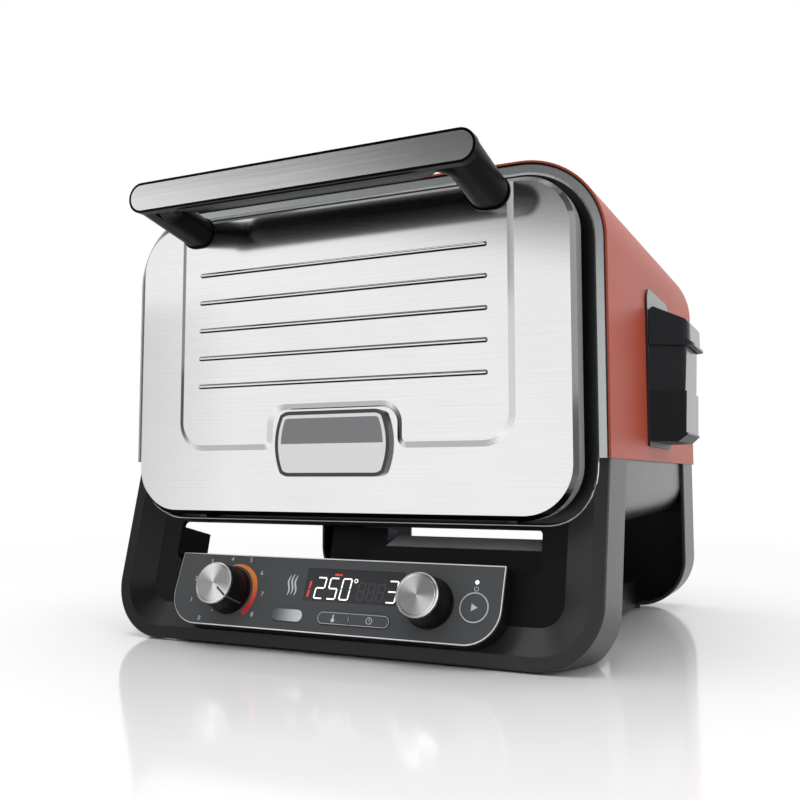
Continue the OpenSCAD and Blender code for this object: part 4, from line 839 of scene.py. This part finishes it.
class OVEN_OT_stage(OvenStep):
    """Camera, floor, world and lights"""
    bl_idname = "oven.stage"
    bl_label = "Stage"
    # name, place, size, direction of the grey scale, its value in the middle, its stops
    CARDS = (
        ("ceiling_card", (-0.3, -1.2, 1.0), (1.7, 1.0), (-1.38, 3.96, 0.0), 1.91,
         ((0.18, tone(255, 255, 255)), (0.52, tone(170, 170, 171)), (0.9, tone(84, 84, 86)))),
        ("side_card", (-1.35, -1.25, 0.3), (0.7, 1.2), RIGHT, 0.5,
         ((0.0, tone(250, 250, 250)), (1.0, tone(150, 151, 153)))),
    )
    # name, place, size, power
    SOFTBOXES = (
        ("top_softbox", (0.0, -0.1, 1.5), 1.6, 18.0),
        ("left_softbox", (-1.9, -0.2, 1.0), 1.2, 7.0),
        ("right_softbox", (1.7, -0.5, 0.8), 1.0, 6.5),
    )
    LIT_POINT = Vector((0.0, 0.0, 0.2))

    def make(self, colours, sizes):
        scene = bpy.context.scene
        stage = scene.oven_stage
        lens = bpy.data.cameras.new("photo_camera")
        lens.lens = stage.lens
        lens.sensor_width = 36.0
        lens.clip_start = 0.01
        camera = bpy.data.objects.new("photo_camera", lens)
        camera.location = stage.eye
        camera.rotation_euler = (math.pi / 2 + stage.pitch, 0.0, stage.turn)
        scene.collection.objects.link(camera)
        scene.camera = camera
        scene.view_settings.view_transform = "Standard"
        self.light_world(scene, stage)
        self.lay_floor(scene, stage)
        for row in self.CARDS:
            self.card(scene, *row)
        for row in self.SOFTBOXES:
            self.hang(scene, *row)

    @staticmethod
    def shown_rays(tree):
        """1 for the rays that show the white room: those from the camera, mirrored or let through."""
        path = tree.nodes.new("ShaderNodeLightPath")
        camera, glossy, through = (Wire(tree, path.outputs[key]) for key in (
            "Is Camera Ray", "Is Glossy Ray", "Is Transmission Ray"))
        return camera.larger(glossy).larger(through)

    def light_world(self, scene, stage):
        """White room that lights less than it shows."""
        world = bpy.data.worlds.new("white_room")
        world.use_nodes = True
        tree = world.node_tree
        tree.nodes.clear()
        output = tree.nodes.new("ShaderNodeOutputWorld")
        shown = self.shown_rays(tree)
        glow = shown.node("Background", {}, {"Color": (1.0, 1.0, 1.0, 1.0), "Strength": 1.0})
        fill = shown.node("Background", {}, {"Color": (1.0, 1.0, 1.0, 1.0), "Strength": stage.fill})
        both = shown.node("MixShader", {}, {0: shown, 1: fill, 2: glow})
        tree.links.new(both.socket, output.inputs[0])
        scene.world = world

    def lay_floor(self, scene, stage):
        """Round studio floor that turns into the white room further out."""
        mesh = bmesh.new()
        rows = []
        for radius in (0.3, 0.7, 1.4, 3.0, 7.0):
            rows.append([mesh.verts.new((x, y, 0.0)) for x, y in circle(radius, 60)])
        mesh.faces.new(rows[0])
        for first, second in zip(rows, rows[1:]):
            for i in range(len(first)):
                after = (i + 1) % len(first)
                mesh.faces.new((first[i], second[i], second[after], first[after]))
        data = bpy.data.meshes.new("studio_floor")
        mesh.to_mesh(data)
        mesh.free()
        finish = Finish("studio_floor", {"Roughness": 0.1, "Specular IOR Level": 0.22})
        tree = finish.material.node_tree
        grain = finish.spot.noise(60.0, 3.0)
        finish.feed({"Base Color": grain.mix(shade(stage.floor, 0.985), stage.floor)})
        x = finish.spot.along(RIGHT)
        y = finish.spot.along(BACK)
        far = ((x * x + y * y) ** 0.5).rise(0.45, 1.5)
        shown = self.shown_rays(tree)
        white = far.node("Emission", {}, {"Color": (1.0, 1.0, 1.0, 1.0), "Strength": 1.0})
        surface = Wire(tree, finish.shader.outputs[0])
        both = far.node("MixShader", {}, {0: far * shown, 1: surface, 2: white})
        output = [node for node in tree.nodes if node.type == "OUTPUT_MATERIAL"][0]
        tree.links.new(both.socket, output.inputs[0])
        data.materials.append(finish.material)
        floor = bpy.data.objects.new("studio_floor", data)
        scene.collection.objects.link(floor)

    def card(self, scene, name, spot, size, axis, start, stops):
        """Upright card, half turned to the oven, that only reflections see; its grey runs one way."""
        mesh = bmesh.new()
        bmesh.ops.create_grid(mesh, x_segments=6, y_segments=6, size=0.5)
        data = bpy.data.meshes.new(name)
        mesh.to_mesh(data)
        mesh.free()
        finish = Finish(name + "_cloth", {"Base Color": (0.0, 0.0, 0.0), "Roughness": 1.0,
                                          "Specular IOR Level": 0.0, "Emission Strength": 1.0})
        share = finish.spot.along(axis) + start
        grey = share.node("ValToRGB", {"stops": stops}, {0: share})
        data.materials.append(finish.feed({"Emission Color": grey}))
        card = bpy.data.objects.new(name, data)
        card.location = spot
        card.scale = (*size, 1.0)
        card.rotation_euler = Vector((-spot[0] * 0.5, -spot[1], 0.0)).to_track_quat("Z", "Y").to_euler()
        card.visible_camera = False
        card.visible_diffuse = False
        card.visible_shadow = False
        scene.collection.objects.link(card)

    def hang(self, scene, name, spot, size, power):
        """Softbox that faces the oven."""
        light = bpy.data.lights.new(name, "AREA")
        light.size = size
        light.energy = power
        holder = bpy.data.objects.new(name, light)
        holder.location = spot
        holder.rotation_euler = (self.LIT_POINT - Vector(spot)).to_track_quat("-Z", "Y").to_euler()
        scene.collection.objects.link(holder)


class OVEN_OT_print(OvenStep):
    """Dial numerals, ticks, heat scale and plain symbols printed on the panel"""
    bl_idname = "oven.print"
    bl_label = "Panel print"

    def make(self, colours, sizes):
        ink = satin("panel_ink", colours.ink)
        lift = sizes.print_lift
        draft = Draft(LAY.matrix(-LAY.knob, 0.0, 0.0))
        count = 60
        start, end = 100.0, -48.0
        inner, outer = [], []
        for i in range(count + 1):
            share = i / count
            swell = min(1.0, share * 2.2) ** 0.7
            angle = math.radians(start + (end - start) * share)
            reach = sizes.scale_inner + swell * (sizes.scale_outer - sizes.scale_inner) + 0.2 * MM
            for line, radius in ((inner, sizes.scale_inner), (outer, reach)):
                line.append((radius * math.cos(angle), radius * math.sin(angle)))
        draft.band(inner, outer, 0.0, lift, False)
        print_ink = heat_scale("scale_print", colours.warm, colours.hot)
        draft.done("heat_scale", "oven", print_ink)
        self.dial(sizes, ink, lift, start)
        self.waves(ink, lift)
        self.power_symbol(ink, lift)

    def dial(self, sizes, ink, lift, scale_start):
        """Numerals all round the selector, and ticks where the heat scale isn't."""
        count, first, sweep = 9, 230.0, 265.0
        lowest, highest = -24.6 * MM, 25.6 * MM
        near, far, half = 20.2 * MM, 22.0 * MM, 0.22 * MM
        ticks = Draft(LAY.matrix(-LAY.knob, 0.0, 0.0))
        for i in range(count):
            angle = first - i * sweep / (count - 1)
            cosine, sine = math.cos(math.radians(angle)), math.sin(math.radians(angle))
            u = sizes.dial_radius * cosine * (sizes.dial_stretch if cosine < 0.0 else 1.0)
            v = max(lowest, min(highest, sizes.dial_radius * sine))
            numeral(str(i), LAY.matrix(u - LAY.knob, v, lift), sizes.numeral, ink, "dial_numeral_%d" % i)
            if angle > scale_start + 20.0:
                ticks.plate([(x * cosine - y * sine, x * sine + y * cosine)
                             for x, y in oblong(near, far, -half, half)], 0.0, lift)
        ticks.done("dial_ticks", "oven", ink, False)

    def waves(self, ink, lift):
        """Three rising heat waves."""
        steps, gap, tall, sway, thick = 24, 3.0 * MM, 15.4 * MM, 0.9 * MM, 0.75 * MM
        across, up = -30.5 * MM, 8.4 * MM
        draft = Draft(LAY.matrix(across, up, 0.0))
        for offset in (-gap, 0.0, gap):
            left, right = [], []
            for i in range(steps + 1):
                share = i / steps
                bend = offset + math.sin(share * math.tau * 1.1) * sway
                half = thick * math.sin(math.pi * (0.12 + 0.76 * share))
                height = (share - 0.5) * tall - abs(offset) * 0.3
                left.append((bend - half, height))
                right.append((bend + half, height))
            draft.band(left, right, 0.0, lift, False)
        draft.done("heat_waves", "oven", ink)

    def power_symbol(self, ink, lift):
        """Power symbol under the status light."""
        u, v = LAY.middle_of("status_led")[:2]
        drop, inner, outer = 4.7 * MM, 1.35 * MM, 1.75 * MM
        half, foot, tip = 0.2 * MM, 0.5 * MM, 2.0 * MM
        draft = Draft(LAY.matrix(u, v - drop, 0.0))
        draft.band(arc(inner, 125, 415, 28), arc(outer, 125, 415, 28), 0.0, lift, False)
        draft.plate(oblong(-half, half, foot, tip), 0.0, lift)
        draft.done("power_symbol", "oven", ink, False)


SEGMENTS = {"0": "abcdef", "1": "bc", "2": "abged", "3": "abgcd", "4": "fgbc", "5": "afgcd", "6": "afgedc",
            "7": "abc", "8": "abcdefg", "9": "abcdfg"}


def slanted(outline, slant=0.09):
    """An outline that leans to the right, as the display's figures do."""
    return [(x + y * slant, y) for x, y in outline]


def segment_bars(width, height, keep):
    """Bars of a seven-segment digit as outlines, the kept ones only."""
    half = height / 2
    thick = 0.52 * MM
    gap = 0.35 * MM
    ends = {"a": ((0, height), (width, height)), "g": ((0, half), (width, half)), "d": ((0, 0), (width, 0)),
            "f": ((0, half), (0, height)), "b": ((width, half), (width, height)),
            "e": ((0, 0), (0, half)), "c": ((width, 0), (width, half))}
    bars = []
    for key, (low, high) in ends.items():
        if key not in keep:
            continue
        if key in "agd":
            outline = oblong(low[0] + gap, high[0] - gap, low[1] - thick, low[1] + thick)
        else:
            outline = oblong(low[0] - thick, low[0] + thick, low[1] + gap, high[1] - gap)
        bars.append(slanted(outline))
    return bars


class OVEN_OT_display(OvenStep):
    """Lit and resting segments behind the display window"""
    bl_idname = "oven.display"
    bl_label = "Display"

    def make(self, colours, sizes):
        lift = sizes.print_lift * 0.6
        top = LAY.top_of("display_window")
        u, v, wide = LAY.middle_of("display_window")[:3]
        base = v - sizes.digit / 2 - 2.6 * MM
        left = u - wide / 2
        lit = lamp("lit_white", colours.glow, 1.0)
        red = lamp("lit_red", tone(206, 66, 38), 0.6)
        rest = satin("unlit_segment", shade(colours.glass, 1.35))
        first, step, width = left + 9.0 * MM, 10.9 * MM, 7.2 * MM
        timer, degree = left + 69.5 * MM, first + 3 * step + 1.2 * MM
        rest_first, rest_step, rest_lift = left + 45.0 * MM, 8.2 * MM, 0.6 * MM
        mark_left, mark_wide, mark_tall, mark_step = left + 2.6 * MM, 1.7 * MM, 5.6 * MM, 6.6 * MM
        bar_left, bar_over = left + 24.0 * MM, 2.0 * MM
        bar_wide, bar_tall, bar_lean = 6.4 * MM, 1.5 * MM, 0.2 * MM
        draft = Draft()
        for i, figure in enumerate(str(sizes.reading)):
            draft.place = LAY.matrix(first + i * step, base, top)
            for bar in segment_bars(width, sizes.digit, SEGMENTS[figure]):
                draft.plate(bar, 0.0, lift)
        draft.place = LAY.matrix(degree, base + sizes.digit - 1.2 * MM, top)
        draft.band(circle(1.0 * MM, 24), circle(1.6 * MM, 24), 0.0, lift, True)
        draft.place = LAY.matrix(timer, base, top)
        for bar in segment_bars(width, sizes.digit, SEGMENTS["3"]):
            draft.plate(bar, 0.0, lift)
        draft.done("lit_digits", "oven", lit, False)
        dim = Draft()
        for i in range(3):
            dim.place = LAY.matrix(rest_first + i * rest_step, base + rest_lift, top)
            for bar in segment_bars(width * 0.72, sizes.digit * 0.8, SEGMENTS["8"]):
                dim.plate(bar, 0.0, lift)
        dim.done("resting_digits", "oven", rest, False)
        marks = Draft(LAY.matrix(mark_left, base + rest_lift, top))
        for low in (0.0, mark_step):
            marks.plate(slanted(oblong(0.0, mark_wide, low, low + mark_tall)), 0.0, lift)
        marks.place = LAY.matrix(bar_left, base + sizes.digit + bar_over, top)
        marks.plate([(0.0, 0.0), (bar_wide, 0.0), (bar_wide + bar_lean, bar_tall), (bar_lean, bar_tall)],
                    0.0, lift)
        marks.done("warm_marks", "oven", red, False)


class OVEN_OT_knobs(OvenStep):
    """Black knob bodies, spun steel caps and the pointer line"""
    bl_idname = "oven.knobs"
    bl_label = "Knobs"

    def make(self, colours, sizes):
        paint(satin("knob_black", colours.plastic), "selector_knob", "adjust_knob")
        # lean is the angle of each cap's painted highlight
        for node, u, lean in (("selector_cap", -LAY.knob, 118.0), ("adjust_cap", LAY.knob, 132.0)):
            centre = LAY.at(u, 0.0, 0.0)
            paint(spun(node + "_steel", shade(colours.steel, 0.9), centre, math.radians(lean)), node)
        self.pointer()

    def pointer(self):
        """Dark line in the cap's pointer notch and its grey run down the side of the knob."""
        top = LAY.top_of("selector_cap")
        turn = LAY.matrix(-LAY.knob, 0.0, 0.0) @ Matrix.Rotation(math.radians(-35.0), 4, "Z")
        fill = Draft(turn)
        near, far, half = 5.7 * MM, 15.9 * MM, 0.7 * MM
        fill.plate(oblong(near, far, -half, half), top - 0.5 * MM, top - 0.44 * MM)
        black, grey = satin("pointer_black", tone(26, 26, 27)), satin("pointer_grey", tone(70, 72, 74))
        fill.done("pointer_fill", "selector", black, False)
        side = Draft(turn)
        sunk, half = 0.3 * MM, 0.6 * MM
        foot, head = (17.72 * MM, 4.0 * MM), (16.56 * MM, top - 3.1 * MM)
        rows = []
        for radius, height in (foot, head):
            rows.append(side.ring([(x, y, height) for x, y in oblong(radius - sunk, radius, -half, half)]))
        side.loft(rows)
        side.done("pointer_run", "selector", grey, False)


class OVEN_OT_buttons(OvenStep):
    """Start ring, pill buttons and their plain marks"""
    bl_idname = "oven.buttons"
    bl_label = "Buttons"

    def make(self, colours, sizes):
        paint(satin("button_grey", shade(colours.panel, 0.98)), "start_button", "temp_button", "time_button")
        u, v, wide = LAY.middle_of("flavour_button")[:3]
        # painted sheen: the silver is painted dark at its left end and bright at its right end
        finish = Finish("flavour_silver", {"Metallic": 0.5})
        run = finish.spot.away_from(LAY.at(u, v, 0.0)).along(LAY.across) / wide + 0.5
        grain = finish.spot.noise(2400.0, 4.0)
        paint(finish.feed({"Base Color": (run.rise(0.0, 0.95) + (grain - 0.5) * 0.1).mix(
            tone(92, 94, 96), tone(214, 216, 218)), "Roughness": 0.3 + grain * 0.12}), "flavour_button")
        ink = satin("button_ink", colours.ink)
        chrome = satin("ring_chrome", tone(214, 216, 218))
        lift = sizes.print_lift
        top = LAY.top_of("start_button")
        u, v = LAY.middle_of("start_button")[:2]
        face = [vertex.co for vertex in NODES["start_button"].data.vertices
                if LAY.height(vertex.co) > top - 0.1 * MM]
        inner = max((LAY.place(spot) - Vector((u, v))).length for spot in face) + sizes.ring_gap
        ring = Draft(LAY.matrix(u, v, 0.0))
        ring.band(circle(inner, 60), circle(sizes.start_ring, 60), 0.0, top * 0.8, True)
        ring.done("start_ring", "oven", chrome)
        mark = Draft(LAY.matrix(u, v, top))
        back, tip, half = -1.9 * MM, 2.9 * MM, 2.7 * MM
        mark.plate([(back, -half), (tip, 0.0), (back, half)], 0.0, lift)
        mark.done("start_mark", "start", ink, False)
        self.pill("temp_button", "temperature", ink, lift, self.thermometer)
        self.pill("time_button", "time", ink, lift, self.clock)

    def pill(self, node, body, ink, lift, symbol):
        """Outline of one end of the pill-shaped pair, the line between the two, and a symbol."""
        top = LAY.top_of(node)
        u, v, wide, high = LAY.middle_of(node)
        radius = high / 2
        line, inset, split = 0.35 * MM, 0.15 * MM, 2.0 * MM
        left_end = node == "temp_button"
        outer, inner = [], []
        for points, shrink in ((outer, inset), (inner, inset + line)):
            reach = radius - shrink
            if left_end:
                bend = arc(reach, 90, 270, 20, (-wide / 2 + radius, 0.0))
                points += [(wide / 2, reach)] + bend + [(wide / 2, -reach)]
            else:
                bend = arc(reach, -90, 90, 20, (wide / 2 - radius, 0.0))
                points += [(-wide / 2, -reach)] + bend + [(-wide / 2, reach)]
        draft = Draft(LAY.matrix(u, v, top))
        draft.band(inner, outer, 0.0, lift, False)
        if left_end:
            edge = wide / 2
            draft.plate(oblong(edge - line, edge, -split, split), 0.0, lift)
        symbol(draft, lift)
        draft.done(node + "_print", body, ink, False)

    def thermometer(self, draft, lift):
        """Bulb below and stem above."""
        bulb = arc(1.5 * MM, 110, 430, 24, (0.0, -1.4 * MM))
        half, tip = 0.55 * MM, 2.6 * MM
        draft.plate(bulb + [(half, tip), (-half, tip)], 0.0, lift)

    def clock(self, draft, lift):
        """Ring and two hands."""
        half, hour, minute = 0.2 * MM, 1.3 * MM, 1.6 * MM
        draft.band(circle(2.1 * MM, 30), circle(2.6 * MM, 30), 0.0, lift, True)
        draft.plate([(-half, -half), (hour, -half), (hour, half),
                     (half, half), (half, minute), (-half, minute)], 0.0, lift)


class OVEN_OT_smoke(OvenStep):
    """Smoke box: wall plate, hopper, pellet tray and hinged lid"""
    bl_idname = "oven.smoke"
    bl_label = "Smoke box"

    def make(self, colours, sizes):
        self.plate(colours)
        finish = Finish("smoke_black", {"Specular IOR Level": 0.12, "Coat Roughness": 0.16})
        grain = finish.spot.noise(2200.0, 4.0)
        outer = finish.facing.along(RIGHT).rise(0.7, 0.95)
        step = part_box("smoke_hopper")[0].z + sizes.cup_tall
        upper = finish.spot.along(UP).rise(step - 0.4 * MM, step + 0.4 * MM)
        slate = (upper * 0.8 + grain * 0.2).mix(shade(colours.smoke, 0.45), shade(colours.smoke, 1.3))
        paint(finish.feed({"Base Color": slate, "Roughness": 0.36 + grain * 0.1, "Coat Weight": outer * 0.9,
                           "Normal": grain.bump(0.00003)}), "smoke_hopper", "smoke_lid")
        paint(brushed("tray_steel", shade(colours.steel, 0.7), (300.0, 300.0, 40.0), 0.4, 0.000006),
              "pellet_tray")

    def plate(self, colours):
        """Wall plate with painted light and shade: pale where its upper end faces out, painted dark along its
        edges and below.
        """
        low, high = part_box("smoke_plate")
        finish = Finish("plate_grey", {"Metallic": 0.4})
        grain = finish.spot.noise(2600.0, 4.0)
        out = finish.facing.along(RIGHT).rise(0.7, 0.95)
        top = finish.spot.along(UP).rise((low.z + high.z) / 2, high.z - 8.0 * MM)
        # painted light on the upper outward face, painted shade on edges and below
        share = out * (top * 0.6 + 0.05) * (0.9 + grain * 0.2)
        paint(finish.feed({"Base Color": share.mix(tone(34, 35, 37), colours.bezel),
                           "Roughness": 0.36 + grain * 0.1}), "smoke_plate")


STEPS = (OVEN_OT_stage, OVEN_OT_body, OVEN_OT_inside, OVEN_OT_door, OVEN_OT_handle, OVEN_OT_base,
         OVEN_OT_panel, OVEN_OT_print, OVEN_OT_display, OVEN_OT_knobs, OVEN_OT_buttons, OVEN_OT_smoke)


class OVEN_PT_panel(bpy.types.Panel):
    """Lists the oven's steps, sizes and colours"""
    bl_idname = "OVEN_PT_panel"
    bl_label = "Pizza oven"
    bl_space_type = "VIEW_3D"
    bl_region_type = "UI"
    bl_category = "Oven"

    def draw(self, context):
        for step in STEPS:
            self.layout.operator(step.bl_idname)
        for group in (context.scene.oven_colours, context.scene.oven_sizes, context.scene.oven_stage):
            for key in group.bl_rna.properties.keys():
                if key not in ("rna_type", "name"):
                    self.layout.prop(group, key)


CLASSES = (OvenColours, OvenSizes, OvenStage, *STEPS, OVEN_PT_panel)


def register():
    for item in CLASSES:
        bpy.utils.register_class(item)
    bpy.types.Scene.oven_colours = PointerProperty(type=OvenColours)
    bpy.types.Scene.oven_sizes = PointerProperty(type=OvenSizes)
    bpy.types.Scene.oven_stage = PointerProperty(type=OvenStage)


def unregister():
    for key in ("oven_colours", "oven_sizes", "oven_stage"):
        delattr(bpy.types.Scene, key)
    for item in reversed(CLASSES):
        bpy.utils.unregister_class(item)


def main():
    """Registers the add-on and runs its steps in order."""
    register()
    for step in STEPS:
        group, name = step.bl_idname.split(".")
        getattr(getattr(bpy.ops, group), name)()


if __name__ == "__main__":
    main()
